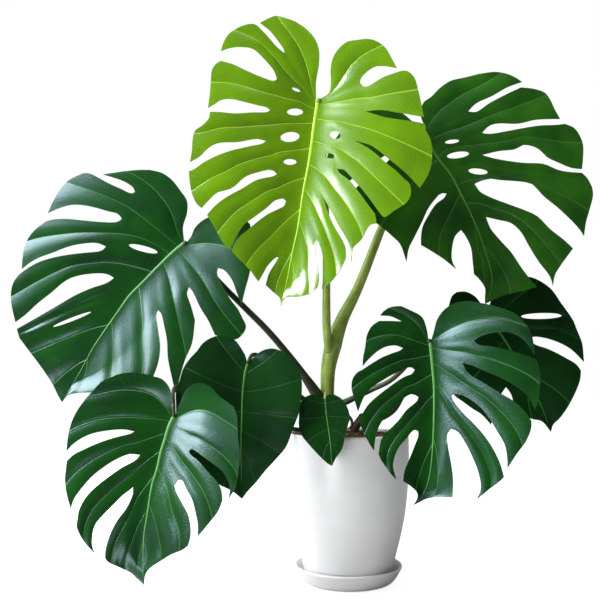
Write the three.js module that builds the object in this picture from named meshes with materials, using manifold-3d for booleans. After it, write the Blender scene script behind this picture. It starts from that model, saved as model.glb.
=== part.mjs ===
// A potted monstera: a glazed pot on its saucer, soil, two stems, eight petioles and eight leaf blades.
// Millimetres, +Z up. The origin is on the table, under the middle of the pot.

import * as THREE from 'three';
import { mergeVertices } from 'three/addons/utils/BufferGeometryUtils.js';
import Module from 'manifold-3d';

const wasm = await Module();
wasm.setup();

// Clearance between two neighbours that touch
const GAP = 0.3;
const BLADE_ROOM = 0.7;

// Pot, as radius and height of its outer wall from the foot to the rim
const POT_WALL = 6;
const POT_FLOOR = 9;
const POT_FOOT_RADIUS = 61;
const POT_RIM_RADIUS = 90;
const POT_RIM_HEIGHT = 215;
const POT_SIDE = [[65.5, 22], [69.5, 38], [77, 66], [83, 94], [87, 124], [89, 150]];
const POT_STRAIGHT_FROM = 172;
const DRAIN_RADIUS = 2.5;

// Saucer
const SAUCER_FLOOR = 5;
const SAUCER_HEIGHT = 25;
const SAUCER_BASE_RADIUS = 58;
const SAUCER_LIP_RADIUS = 78.5;

// Soil
const SOIL_TOP = 208;
const SOIL_CROWN = 212;

// Leaf blades
const BLADE_THICKNESS = 1;
const RIB_DEPTH = 2.4;
const RIB_TAPER = 0.8;
const RIB_SAMPLES = 60;

// Faces: rings of the turned pieces, sides of a stem, steps across a lobe and along it
const RING_SIDES = 32;
const STEM_SIDES = 8;
const STEM_RING_EVERY = 22;
const FEWEST_STEM_RINGS = 8;
const LOBE_COLUMNS = 4;
const NECK_ROWS = 1;
const HOLE_ROWS = 3;
const PLAIN_ROWS = 3;
const CUT_ROWS = 4;
const SETTLING_ROUNDS = 60;
const SETTLING_SHARE = 0.5;
const LEAST_SPAN = 1e-6;

// The outlines are given on the picture grid of a viewpoint in front of the plant, level with its leaves.
// A grid step is 1.5 mm wide at the pot's axis.
const EYE = new THREE.Vector3(-70.5, -1200, 314.5);
const EYE_PITCH = THREE.MathUtils.degToRad(4.64);
const GRID_MIDDLE = 300;
const GRID_STEP = 1.5;
const GRID_SLOPE = GRID_STEP / -EYE.y;

// Looks of the solids
const LIME_LEAF = { color: '#86b31c', roughness: 0.42 };
const DARK_LEAF = { color: '#1f4d26', roughness: 0.38 };
const YOUNG_STALK = { color: '#8a9c48', roughness: 0.5 };
const DARK_STALK = { color: '#4f5f2c', roughness: 0.5 };
const BARK = { color: '#5a4a33', roughness: 0.8 };
const GLAZE = { color: '#f2f1ee', roughness: 0.22 };
const EARTH = { color: '#3a2a1e', roughness: 1 };

// A point of the picture grid, carried along its line of sight to a depth behind or before the pot's axis.
function seen(px, py, depth) {
  const across = (px - GRID_MIDDLE) * GRID_SLOPE;
  const up = (GRID_MIDDLE - py) * GRID_SLOPE;
  const sight = new THREE.Vector3(
    across,
    Math.cos(EYE_PITCH) - up * Math.sin(EYE_PITCH),
    Math.sin(EYE_PITCH) + up * Math.cos(EYE_PITCH),
  );
  return sight.multiplyScalar((depth - EYE.y) / sight.y).add(EYE);
}

// Grid points from text such as '318,99 314,126', which may run over several lines.
function points(text) {
  return text.trim().split(/\s+/).map((pair) => {
    const [x, y] = pair.split(',').map(Number);
    return new THREE.Vector3(x, y, 0);
  });
}

function smooth(control) {
  return new THREE.CatmullRomCurve3(control, false, 'centripetal');
}

function evenly(control, steps) {
  return smooth(control).getSpacedPoints(steps);
}

// The young leaf at the top. In each half, lobes and cuts run from the stalk round to the tip.
const LEAF_TOP = {
  name: 'top',
  look: LIME_LEAF,
  stalk: '318,99',
  midrib: '314,126 309,162 303,193 298,227 293,250 286,285 281,306',
  ribWidth: 5,
  depth: -10,
  lean: 0.2,
  turn: -0.15,
  fold: 0.4,
  left: {
    sinus: '316,83 319,64 319,50 315,39 305,28 295,21.5',
    margins: [
      '285,18 276,16 267.5,19',
      '253,24 245,25 236,29 228,35 223,44',
      '216.5,63.5 212,70 211,79 210,93',
      '209,118 203,125 195,131 192.5,141 192,150',
      '189.6,181 192.5,195 197,204',
      '211,221.5 216.5,231 222,241',
      '238,258 249,269 255,277',
      '272,291 280,298.5',
    ],
    cuts: [
      {
        root: 0.012,
        end: '284.5,53',
        near: '284,50 278,41 270,31 260,23',
        far: '281,50.5 276,46 266.5,35 257,25.5',
      },
      {
        root: 0.03,
        hole: { from: '300,91.5', to: '292,88', width: 3 },
        end: '277,79',
        near: '274,71 265,60 253,49 241.5,47 230,48 221,51',
        far: '274,81 261,77 245,70 232,64 221,61',
      },
      {
        root: 0.07,
        hole: { from: '303,112', to: '287,112', width: 7 },
        end: '270,110',
        near: '266,107 261,106 245,102 231,99 221,100 214.6,104 208,108',
        far: '267.5,112 253,112.5 234,113.5 218.5,112 210,112',
      },
      {
        root: 0.165,
        hole: { from: '299.5,136', to: '280.5,138', width: 10 },
        end: '266,141',
        near: '257,139 238,142 218.5,143 209,147.5 199,157 190,162',
        far: '264,143 249,146.5 230,151 216.5,156 203,163 194,169.5 189,171.5',
      },
      {
        root: 0.31,
        hole: { from: '296.5,162', to: '283.5,162', width: 6 },
        end: '277,174',
        near: '272,170 257,172.5 245,177 232,188 216.5,193 209,200 201.5,208',
        far: '274,176 257,180 241.5,189 226,197.5 215,206 207,215',
      },
      {
        root: 0.45,
        end: '286,201',
        near: '285,199 276,200 266.5,208 253,218 243.5,225 234,241 229,250',
        far: '285,205 266.5,215 251,227 236,241 232,251',
      },
      {
        root: 0.62,
        end: '278.5,257.5',
        near: '277,257 267.5,266 263,274 258.5,281.5',
        far: '276,262 269,273.5 265.6,285',
      },
    ],
    tipFrom: 0.86,
  },
  right: {
    sinus: '329,93 331,81 330.6,70 333,58 339,48.5 347,42 357,40',
    margins: [
      '368.5,39 378,42 386,48.5 391.5,58',
      '407,71 414,77 418.5,91 421,102',
      '426,131 430,138 432,150 431.5,164 428,175',
      '409,183 411,193 407,202 395,210 384,217',
      '376,223 370,225 361,240 353,248',
      '340,270 330,283',
      '311,293 299,296.5 285,298',
    ],
    cuts: [
      { root: 0.012, end: '360,83', near: '361,78 374,67 384,66 397,68', far: '365,87 384,77 401,71' },
      {
        root: 0.045,
        end: '365.6,111.5',
        near: '380,110 401,113 413,115 424,117',
        far: '384,117 403,120 416.5,122 425,124',
      },
      {
        root: 0.145,
        hole: { from: '329.5,134', to: '340.5,136', width: 8 },
        end: '354.6,140.5',
        near: '372,146 390,160 406,173 420,188',
        far: '371,150 388,164.5 398,172.5 404,179',
      },
      {
        root: 0.26,
        hole: { from: '325.5,155', to: '334.5,157', width: 5 },
        end: '337.5,169',
        near: '343.5,169.5 351,177 365,193 379,212',
        far: '339,172.5 349,180 361,195 375,214',
      },
      {
        root: 0.37,
        end: '322,195',
        near: '333,214 338,224 350,246 351.5,262',
        far: '329,215 334,226 345,246 346,258',
      },
      {
        root: 0.5,
        end: '318,240',
        near: '322,252 324,270 322,289',
        far: '315,248 317.5,268 319,279 317.5,287',
      },
    ],
    tipFrom: 0.86,
  },
};

const LEAF_UPPER_RIGHT = {
  name: 'upper_right',
  look: DARK_LEAF,
  stalk: '424,128',
  midrib: '436,155 450.5,174 460,192 470,212 479,233 487,257 492,276 491,291 485,304',
  ribWidth: 4,
  depth: 50,
  lean: 0.22,
  turn: -0.08,
  fold: 0.22,
  left: {
    sinus: '412,121 402,113 385,105 366,108 350,120',
    margins: [
      '335,140 327,158 330,178',
      '352,210 364,219 376,223 384,229 392,236 400,244',
      '433,252 445,260',
      '480,280 485,288 485,297',
    ],
    cuts: [
      {
        root: 0.05,
        end: '395,152',
        near: '386,155 370,166 352,179 338,190',
        far: '388,161 374,172 358,186 345,200',
      },
      {
        root: 0.3,
        end: '446.5,193.5',
        near: '441,193.5 434.5,200 428,209 422,222 414,238 409,248 406.5,262',
        far: '444,198 436,204 428,216 422.5,227 421,236.5 421,245',
      },
      {
        root: 0.48,
        end: '461,230',
        near: '455,236.5 452,249 452,260.5 456,269',
        far: '465.5,236 471,248 472.6,260.5 474,274',
      },
    ],
    tipFrom: 0.68,
  },
  right: {
    sinus: '421,117 421,109 424,102 431,97 440,88 450.5,81 465,77.5 479,74',
    margins: [
      '495,72 507,74 516,78',
      '534,89 545,93 550,99.5 555,110',
      '574,128 579.5,135.5 583,145 583,158',
      '587,178',
      '593,195 590,208 586,222',
      '567.5,256 561,265 555,275',
      '530,289 502,296',
    ],
    cuts: [
      {
        root: 0.03,
        end: '468,111.5',
        near: '476,103.5 492,96 508,87 522,82',
        far: '476,112 489,103.5 505,95 521,87.5',
      },
      {
        root: 0.1,
        hole: { from: '445,142.5', to: '459,140.7', width: 4 },
        end: '482,133',
        near: '489,126 497,123.5 519,123.5 534,120 550,119 560,119',
        far: '489,134 508,131 524,128 540,125.6 556,125 565,124',
      },
      {
        root: 0.24,
        hole: { from: '447,156.5', to: '469,153.5', width: 6.5 },
        end: '482,155',
        near: '499,151 516,149 522.6,145 532,146 540,150 547,157 559.5,163 572,168 582,169',
        far: '492,158 508,161 524,163 543.5,164 558,170 569,172 582,173',
      },
      { root: 0.31, hole: { from: '468.5,170.5', to: '487.5,172.5', width: 6 }, rim: '592,187' },
      {
        root: 0.38,
        end: '474.6,184',
        near: '484,178.5 500,180 524,182 532,184 543.5,196 559.5,209 579,228.5 584,236',
        far: '479,191 492,198 508,204 524,210 537,216 550,229 564,240 573,248.5',
      },
      {
        root: 0.52,
        end: '486,217',
        near: '499,220 511,223 521,232 529,246 539,262 550,276.5 553,286',
        far: '489,226 500,240 511,252 521,267 530,279 537,287',
      },
    ],
    tipFrom: 0.86,
  },
};

const LEAF_LOWER_RIGHT_BACK = {
  name: 'lower_right_back',
  look: DARK_LEAF,
  stalk: '487,318',
  midrib: '500,333 511,350 529,382 543,410 551,432',
  ribWidth: 4,
  depth: 62,
  lean: 0.2,
  turn: -0.1,
  fold: 0.18,
  left: {
    sinus: '483,309 479,301 473,295 465,291.6 457,292',
    margins: [
      '452,296 449,305 445,320 443,335',
      '443,368 448,385 455,396 462,401 473,409 481,414 487,420',
      '520,415 532,419 542,421.5',
    ],
    cuts: [
      { root: 0.12, end: '470,344', near: '462,343 452,344 443,345', far: '462,350 453,353 443,356' },
      { root: 0.32, end: '506,387', near: '500,396 494,409 491,425', far: '511,394 513,403 509,411' },
    ],
    tipFrom: 0.82,
  },
  right: {
    sinus: '489,308 492,296',
    margins: [
      '500,286 515,279 530,277 550,288 561,303 569,314',
      '577,330 582,343',
      '580,380 576,391 569,405 560,418 553,425',
    ],
    cuts: [
      { root: 0.1, hole: { from: '521,316.5', to: '562,315.5', width: 6 }, rim: '573.5,321' },
      {
        root: 0.2,
        end: '528,339.5',
        near: '533,336.8 545,338 560,343 572,350 584,362',
        far: '535,344.5 548,349 564,357 577,365 581,371',
      },
    ],
    tipFrom: 0.82,
  },
};

const LEAF_LOWER_RIGHT = {
  name: 'lower_right',
  look: DARK_LEAF,
  stalk: '430,340',
  midrib: '432,362 434,386 434,415 433,442 431,466 428,482 422,496 413,505.5',
  ribWidth: 4,
  depth: -95,
  lean: 0.25,
  turn: -0.22,
  fold: 0.42,
  left: {
    sinus: '426.5,328 422,317 412,311 401,306',
    margins: [
      '391,307 384,311',
      '372,326 367,335 365,348 363,358',
      '358,372 353,378 351.5,387 354.5,400',
      '359.5,421 362,429 369,443',
      '381,460 386,467 391,474',
      '409,485 414,489 417.3,493.5 417,499',
    ],
    cuts: [
      { root: 0.014, end: '402,321.5', near: '391,316.5 380,315.5', far: '391,321 379,321' },
      {
        root: 0.05,
        end: '403,348',
        near: '396,345.5 386.5,346.5 378.5,350.5 372,356 366.5,361.5 362.5,366.5',
        far: '400,350.5 393,353 382,357.5 371,364 362,370',
      },
      {
        root: 0.13,
        end: '415,370',
        near: '410.5,367 402.5,370 390,376 378.5,383 370,389 364,397 361,404 358,412',
        far: '414,373 404,377 390,386.5 377,396.5 368,405 361,416',
      },
      {
        root: 0.27,
        end: '418.5,397',
        near: '412,394 404,398 394.5,408.6 383,420 378,429 375,441 374,451',
        far: '417,401 407,409.5 398,421 389,430 382,438 378.5,454',
      },
      {
        root: 0.38,
        end: '418,431',
        near: '414,430 406,439 399,447 394.5,457 393,466 396.5,480',
        far: '418.5,435 415,445 409,460 404.5,471 403,481',
      },
    ],
    tipFrom: 0.84,
  },
  right: {
    sinus: '434,331 437,320 444,310 455,303 468,301 481,303 491,305 505,309',
    margins: [
      '516,314 524,322 531,333 534,346',
      '539,366 540,373 540,385 539,397',
      '531,429 526,441 516,455',
      '500,481 492,487 484,493.5',
      '444,497 436,497 426,499 420,502',
    ],
    cuts: [
      {
        root: 0.02,
        end: '474,340.5',
        near: '481,336 494,332.5 510,332.5 521,338 529,346.5 534.5,355',
        far: '478,344.5 492,346.5 513,351.5 527.5,356 536,359.5',
      },
      {
        root: 0.08,
        end: '462.6,363',
        near: '471,365 487,372 503.5,379 516,386 527.5,396 535,409',
        far: '468,373 484,383 500,393 515,402 526,413 531.5,421',
      },
      {
        root: 0.2,
        end: '451.4,395',
        near: '459,394 478,405 489,418 499,434 505,445 507.5,460 507.5,468',
        far: '452,399 462,412 473,423 483,434 492,447 500,463 504,477',
      },
      {
        root: 0.33,
        end: '450.6,429',
        near: '457,431 465,442 473,458 479,474 481,489 477,499',
        far: '447,433 448,447 451,463 453,479 452.5,497',
      },
    ],
    tipFrom: 0.84,
  },
};

const LEAF_LEFT = {
  name: 'left',
  look: DARK_LEAF,
  stalk: '185,242',
  midrib: '173,252 157,267.5 143,282 130,295 117,313 103,333 93,348 80,372 62,402',
  ribWidth: 4,
  depth: 10,
  lean: 0.2,
  turn: -0.15,
  fold: 0.3,
  left: {
    sinus: '183,227 187,213 187,201 180,190 172,180 162,173 150,170',
    margins: [
      '138,170 127,171 113,173',
      '91,174 85,173 77,176 68,181 60,190 53,202',
      '35,230 27.5,240 24,250 22.5,260',
      '15,280 12,287 11,295 12,307',
      '18,333',
      '30,352 42,368 52,383 58,395',
    ],
    cuts: [
      {
        root: 0.02,
        end: '135,192',
        near: '133,187.5 123,181 113,177.5 103,174.5',
        far: '132,193.5 120,188.5 108,183 98,177.5',
      },
      {
        root: 0.06,
        end: '122,219',
        near: '118,214 107,211 95,207.5 82,205 70,205 57,209 48,213',
        far: '117,222 100,222 83,220.5 67,219 54,219.5 46,221.5',
      },
      {
        root: 0.13,
        hole: { from: '157.5,252.5', to: '129,245', width: 6 },
        end: '106,246.5',
        near: '97,243 80,244 67,247 53,252.5 38,258 28,264 22,269',
        far: '102,250.5 83,253 67,255 50,258.5 37,263 26,269.5 20,274',
      },
      {
        root: 0.31,
        end: '114,278',
        near: '107,274 88,274 72,277.5 63,282.5 52,292 38,303 25,315 15.5,322',
        far: '108,282.5 92,288 75,295.5 58,305.5 40,316 25,324.5 17,329',
      },
      { root: 0.46, hole: { from: '91,312', to: '53,326.7', width: 3.5 }, rim: '19.5,338' },
    ],
    tipFrom: 0.86,
  },
  right: {
    sinus: '191,237 195,228 202,221 212,216 225,213.5 240,215 250,224',
    margins: [
      '253,240 252,258 249.7,273 245,290',
      '242,317 246,327 240,337 233,340 224,338',
      '192,343 185,360 178,384',
      '135,390 110,394 90,392.5 77,393 67,395.5',
    ],
    cuts: [
      {
        root: 0.025,
        end: '218,268',
        near: '224,270 232,280 237,293 241.5,305',
        far: '217,273 223,287 231,300 238,309',
      },
      {
        root: 0.08,
        end: '189,287',
        near: '193,292 200,307 208,320 215,335',
        far: '187,293 191,306 195,320',
      },
      {
        root: 0.21,
        end: '158,310',
        near: '161,313 164.5,327 167,340 168,358 172,378 175.5,393',
        far: '156,315 158,330 160,347 158,363 153,377',
      },
    ],
    tipFrom: 0.86,
  },
};

const LEAF_LOWER_LEFT = {
  name: 'lower_left',
  look: DARK_LEAF,
  stalk: '174,416',
  midrib: '169,426 165,439 161,451.5 157,469 152,485 149.5,499 147,516 144,535 143,562 144,585',
  ribWidth: 4,
  depth: -150,
  lean: 0.28,
  turn: -0.12,
  fold: 0.4,
  left: {
    sinus: '173,405 172,397 169,387 162,379 152,376 139,373 124,373 113,376.5 101,382',
    margins: [
      '94,389.5 85,400 77,411 71,424 68,437',
      '66,469 65,480 67,495',
      '76.8,527 80,535 86,544',
      '108,562 118.5,567 131,573 137,578.5',
    ],
    cuts: [
      {
        root: 0.05,
        end: '134.6,431.5',
        near: '124,429.5 108,430.5 92.5,433.5 81,438.5 72,445 66.5,451',
        far: '130,433.8 116,437.3 100,442.5 84,449.5 74,454.5 67,461',
      },
      {
        root: 0.17,
        end: '140,455',
        near: '130,454 117,459 104,467 91,477.5 81,489 74,499 70.6,508.5',
        far: '136,460 123,467 110,476 97,486 87,496 79.5,509 77,522',
      },
      {
        root: 0.27,
        end: '133,487',
        near: '131,489 123,495 113,505 103,515 95,525 92,538 92.5,547 95,554',
        far: '133.6,490.5 131,499 126,509 117,521 110,535 105.5,550 105,558',
      },
    ],
    tipFrom: 0.86,
  },
  right: {
    sinus: '178,408 182,398 186,389.5 193.5,384 201,383 211,387 218,395 228,402.5 234,407',
    margins: [
      '237,415.5 238,437 239.6,451.5 239,466 237,479 234.5,489',
      '218,511 209,523',
      '182,550 170,555 159,562 150,568 145,575',
    ],
    cuts: [
      {
        root: 0.07,
        end: '189,450.5',
        near: '192,449 201,455 214,464.5 222,471 228,481 230,489 229,498',
        far: '190,454 198,460.5 208,472 216.5,481 221,489 222.5,500',
      },
      {
        root: 0.21,
        end: '178,480',
        near: '182,480 186,488 192,499 196,514 198,525 198,536',
        far: '174,484 176,492 182,503.5 188,515 190.5,528 190,538 188,545.5',
      },
    ],
    tipFrom: 0.86,
  },
};

const LEAF_INNER_LEFT = {
  name: 'inner_left',
  look: DARK_LEAF,
  stalk: '248,363',
  midrib: '245.5,371 243,391 242,415 241,452 242,499',
  ribWidth: 3,
  depth: -95,
  lean: 0.15,
  turn: 0.05,
  fold: 0.2,
  left: {
    sinus: '245.5,356 242,349.5 237,342',
    margins: [`230,337 221,335.5 213,337 203,343 197,351 189.5,359 183,369 180,379
      176,391 176,405 177,425 185,446 200,468 218,484 232,491`],
    cuts: [],
    tipFrom: 0.72,
  },
  right: {
    sinus: '251,360 255,356 259,352.5',
    margins: [`265,349.5 273.5,348.5 283,352 291,358 297,366.5 301.5,379 302,388.5
      301,401 299,413 294,426 286,447 277,458 266,470 255,483.5 248,491`],
    cuts: [],
    tipFrom: 0.72,
  },
};

const LEAF_SMALL = {
  name: 'small',
  look: DARK_LEAF,
  stalk: '325,398',
  midrib: '326.5,415 330,440 332,466',
  ribWidth: 2,
  depth: -85,
  lean: 0.38,
  turn: 0,
  fold: 0.15,
  left: {
    sinus: '322.5,397 316,394.5',
    margins: ['310,395 304,398 300,404 299,415 299,427 301.5,435 309,444.5 319,455.5 327,463'],
    cuts: [],
    tipFrom: 0.72,
  },
  right: {
    sinus: '327.5,395.5 333,394',
    margins: ['340.5,398 345,403 348,409 350,418 348,425 345,437 342,449 336,458'],
    cuts: [],
    tipFrom: 0.72,
  },
};

const LEAVES = [
  LEAF_TOP, LEAF_UPPER_RIGHT, LEAF_LOWER_RIGHT_BACK, LEAF_LOWER_RIGHT,
  LEAF_LEFT, LEAF_LOWER_LEFT, LEAF_INNER_LEFT, LEAF_SMALL,
];

// Shape of every blade in depth: it rises from the midrib, droops to its margin and is quilted by its veins
const DROOP = 0.0011;
const VALLEY = 12;
const TIP_ARCH = 0.00018;
const QUILT = 1;
const QUILT_FROM = 40;
const LOBE_WAVE = 4;
const LOBE_TURN = 2.4;
const CUT_START = 0.5;
const TIPWARD_AT = 0.4;

// Stems and stalks run through grid points with a depth, and a radius at each: x, y, depth, radius.
const MAIN_STEM = [[328.5, 480, 4, 14], [328.5, 446, 4, 14], [328.3, 424, 5, 13], [327.6, 405, 6, 10]];
const SIDE_STEM = [
  [350, 480, 2, 7], [350.5, 446, 2, 7], [353, 434, 3, 6.5], [358, 423, 4, 6], [362, 416, 5, 4.5],
];
const AERIAL_ROOT = [
  [332, 414, -6, 2.6], [340, 413, -12, 2.5], [347, 415, -16, 2.4],
  [351.5, 420, -18, 2.2], [351.5, 426, -18, 1.9], [348.5, 428.5, -19, 1.2],
];
const STALKS = {
  upper_right: [
    [327.5, 411, 6, 10.5], [327.5, 392, 6, 10], [328.5, 368, 8, 11], [333.5, 345, 12, 13], [342, 320, 20, 10],
    [357, 290, 34, 7.6], [380, 232, 56, 6.6], [405, 172, 78, 5.8], [420, 141, 74, 5.2],
    [424, 128, 51, 4.2],
  ],
  top: [
    [329, 352, 4, 6.4], [326.8, 328, -4, 6.4], [326.5, 283, 0, 5.8], [326, 230, 8, 5.4], [324, 170, 12, 5],
    [321, 122, 6, 4.6], [318, 100, -11, 4],
  ],
  left: [
    [325, 408, 0, 9.5], [316, 393, -3, 8.5], [305, 377, -6, 6.2], [286, 352, -5, 5],
    [267, 330, 2, 4.8], [245, 308, 14, 4.6], [222, 285, 24, 4.4], [200, 260, 26, 4],
    [187, 246, 15, 3.6], [185, 242.5, 8.5, 3.2],
  ],
  small: [
    [329, 415, -4, 3.2], [328, 405, -24, 2.6], [326.5, 396, -50, 2.3], [325.6, 394, -72, 2.1],
    [325, 398, -85.5, 1.9],
  ],
  inner_left: [
    [321, 409, -4, 4.5], [305, 400, -24, 4], [288, 386, -46, 3.4], [272, 368, -64, 3], [260, 356, -78, 2.8],
    [252.5, 355, -86.5, 2.6], [248, 362.5, -96, 2.4],
  ],
  lower_left: [
    [321, 425, -4, 4.4], [310, 428.5, -20, 3.6], [297, 429.5, -38, 3.2], [270, 422.5, -58, 3],
    [238, 409, -72, 2.9], [212, 397, -80, 2.8], [196, 390, -86, 2.7], [185, 387, -91, 2.6],
    [177.5, 386, -98, 2.5], [173.8, 389, -112, 2.5], [173.2, 396, -131, 2.5], [173.4, 405, -147, 2.4],
    [174, 416, -151, 2.4],
  ],
  lower_right: [
    [331, 408, 2, 6], [340, 404, -3, 5], [348, 401, -12, 4.6], [358, 396, -24, 4.2], [373, 389, -40, 3.8],
    [391, 380, -56, 3.4], [409, 363, -71, 3.2], [423, 347, -85, 3], [430, 340.5, -96, 2.8],
  ],
  lower_right_back: [
    [360, 420, 5, 4.6], [376, 420, 13, 4.2], [393, 411, 24, 4], [402, 397, 38, 3.8], [412, 378, 54, 3.6],
    [434, 350, 75, 3.4], [460, 332, 87, 3.2], [480, 321, 82, 3], [487, 318.5, 61, 2.8],
  ],
};
const PALE_STALKS = ['upper_right', 'top', 'small'];

// Solid from a closed geometry, and back.
function solidOf(geometry) {
  geometry.deleteAttribute('normal');
  geometry.deleteAttribute('uv');
  const merged = mergeVertices(geometry, 1e-4);
  const vertProperties = new Float32Array(merged.attributes.position.array);
  const triVerts = new Uint32Array(merged.index.array);
  return new wasm.Manifold(new wasm.Mesh({ numProp: 3, vertProperties, triVerts }));
}

function geometryOf(solid) {
  const mesh = solid.getMesh();
  const geometry = new THREE.BufferGeometry();
  geometry.setAttribute('position', new THREE.BufferAttribute(mesh.vertProperties, 3));
  geometry.setIndex(new THREE.BufferAttribute(mesh.triVerts, 1));
  return geometry;
}

// What is left of a solid once its neighbours are cut from it, without loose scraps.
function cutBy(solid, neighbours) {
  const rest = neighbours.reduce((left, neighbour) => left.subtract(neighbour), solid);
  const pieces = rest.decompose().sort((one, other) => other.volume() - one.volume());
  return pieces[0];
}

// A sheet of triangles on the picture grid, with shared corners joined.
class Sheet {
  constructor() {
    this.corners = [];
    this.faces = [];
    this.known = new Map();
  }

  corner(point, depth, rib) {
    const key = `${point.x.toFixed(3)} ${point.y.toFixed(3)}`;
    if (!this.known.has(key)) {
      this.known.set(key, this.corners.length);
      this.corners.push({ place: seen(point.x, point.y, depth), rib });
    }
    return this.known.get(key);
  }

  face(a, b, c) {
    if (a !== b && b !== c && c !== a) {
      this.faces.push([a, b, c]);
    }
  }

  normals() {
    const normals = this.corners.map(() => new THREE.Vector3());
    for (const [a, b, c] of this.faces) {
      const [first, second, third] = [a, b, c].map((corner) => this.corners[corner].place);
      const normal = second.clone().sub(first).cross(third.clone().sub(first));
      [a, b, c].forEach((corner) => normals[corner].add(normal));
    }
    return normals.map((normal) => normal.normalize());
  }

  // Directed edges with a face on one side only: the margin, the cuts and the holes.
  edges() {
    const open = new Map();
    for (const [a, b, c] of this.faces) {
      for (const [from, to] of [[a, b], [b, c], [c, a]]) {
        if (!open.delete(`${to} ${from}`)) {
          open.set(`${from} ${to}`, [from, to]);
        }
      }
    }
    return [...open.values()];
  }

  // The way out of the sheet at each corner of its edges, and zero at the others.
  outward(normals) {
    const outward = this.corners.map(() => new THREE.Vector3());
    for (const [from, to] of this.edges()) {
      const along = this.corners[to].place.clone().sub(this.corners[from].place);
      [from, to].forEach((corner) => {
        outward[corner].add(along.clone().cross(normals[corner]).normalize());
      });
    }
    return outward.map((direction) => direction.normalize());
  }

  // The sheet thickened to both sides, with the midrib standing out behind it. Extra grows it all round.
  thicken(extra) {
    const normals = this.normals();
    const outward = this.outward(normals);
    const half = BLADE_THICKNESS / 2 + extra;
    const middle = this.corners.map(({ place }, i) => place.clone().addScaledVector(outward[i], extra));
    const front = middle.map((place, i) => place.clone().addScaledVector(normals[i], half));
    const back = middle.map((place, i) => (
      place.clone().addScaledVector(normals[i], -half - this.corners[i].rib)
    ));
    const count = this.corners.length;
    const index = [];
    for (const [a, b, c] of this.faces) {
      index.push(a, b, c, count + c, count + b, count + a);
    }
    for (const [from, to] of this.edges()) {
      index.push(to, from, count + from, to, count + from, count + to);
    }
    const geometry = new THREE.BufferGeometry().setFromPoints([...front, ...back]);
    geometry.setIndex(index);
    return geometry;
  }
}

// One side of a lobe along a cut: out from the midrib, round any hole, then along the cut's edge.
function cutSide(cut, root, edge, innerRows, tipward) {
  const rim = points(cut.rim ?? cut.end)[0];
  const line = [];
  if (cut.hole) {
    const [from, to] = [points(cut.hole.from)[0], points(cut.hole.to)[0]];
    line.push(...evenly([root, from], NECK_ROWS), ...holeEdge(cut.hole, edge, tipward).slice(1));
    line.push(...evenly([to, rim], cut.rim ? NECK_ROWS + CUT_ROWS : NECK_ROWS).slice(1));
  } else {
    line.push(...evenly([root, rim], cut.rim ? innerRows + CUT_ROWS : innerRows));
  }
  if (!cut.rim) {
    line.push(...evenly([rim, ...points(cut[edge])], CUT_ROWS).slice(1));
  }
  return line;
}

// Half of an oval hole, on the side of the stalk (near) or of the tip (far).
function holeEdge(hole, edge, tipward) {
  const [from, to] = [points(hole.from)[0], points(hole.to)[0]];
  const middle = from.clone().lerp(to, 0.5);
  const long = to.clone().sub(from).multiplyScalar(0.5);
  const out = new THREE.Vector3(-long.y, long.x, 0).setLength(hole.width / 2);
  const towardsTip = Math.sign(out.dot(tipward)) || 1;
  const side = edge === 'far' ? towardsTip : -towardsTip;
  return Array.from({ length: HOLE_ROWS + 1 }, (_, row) => {
    const angle = Math.PI * (1 - row / HOLE_ROWS);
    return middle.clone()
      .addScaledVector(long, Math.cos(angle))
      .addScaledVector(out, side * Math.sin(angle));
  });
}

// Depth of a blade at a grid point: row is 0 at the midrib and 1 at the margin, column 0 to 1 across a lobe.
function depthOf(leaf, rib, point, lobe, row, column) {
  const [stalk] = points(leaf.stalk);
  const right = (point.x - stalk.x) * GRID_STEP;
  const up = (stalk.y - point.y) * GRID_STEP;
  const away = Math.min(...rib.map((place) => place.distanceTo(point))) * GRID_STEP;
  const plane = leaf.depth + leaf.lean * up + leaf.turn * right;
  const rise = Math.hypot(away, VALLEY) - VALLEY;
  const arch = TIP_ARCH * up * up - leaf.fold * rise + DROOP * away * away;
  const pillow = 0.5 * Math.cos(4 * Math.PI * column) - 0.8 * Math.cos(2 * Math.PI * column);
  const quilt = QUILT * pillow * Math.min(1, away / QUILT_FROM);
  const free = THREE.MathUtils.smoothstep(row, CUT_START, 1);
  return plane + arch + quilt + LOBE_WAVE * free * Math.sin(LOBE_TURN * lobe + leaf.depth);
}

function bladeSheet(leaf) {
  const midrib = smooth([...points(leaf.stalk), ...points(leaf.midrib)]);
  const rib = midrib.getSpacedPoints(RIB_SAMPLES);
  const sheet = new Sheet();
  const chains = ['left', 'right'].map((half) => halfBlade(leaf, half, midrib, rib, sheet));
  joinChains(sheet, ...chains);
  return sheet;
}

// A point of the midrib's left or right edge; the two edges meet at the tip.
function ribEdge(leaf, half, midrib, t) {
  const side = half === 'right' ? 1 : -1;
  const tangent = midrib.getTangentAt(t);
  const width = leaf.ribWidth * (1 - t) ** RIB_TAPER;
  const across = new THREE.Vector3(tangent.y, -tangent.x, 0);
  return midrib.getPointAt(t).addScaledVector(across, side * width / 2);
}

// Share of a line's length at each of its points, or even shares where there is no line.
function shares(line, steps) {
  if (!line) {
    return Array.from({ length: steps + 1 }, (_, i) => i / steps);
  }
  const lengths = line.map((point, i) => (i ? point.distanceTo(line[i - 1]) : 0));
  const total = lengths.reduce((sum, length) => sum + length, 0);
  let run = 0;
  return lengths.map((length) => {
    run += length;
    return Math.min(1, run / total);
  });
}

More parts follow.
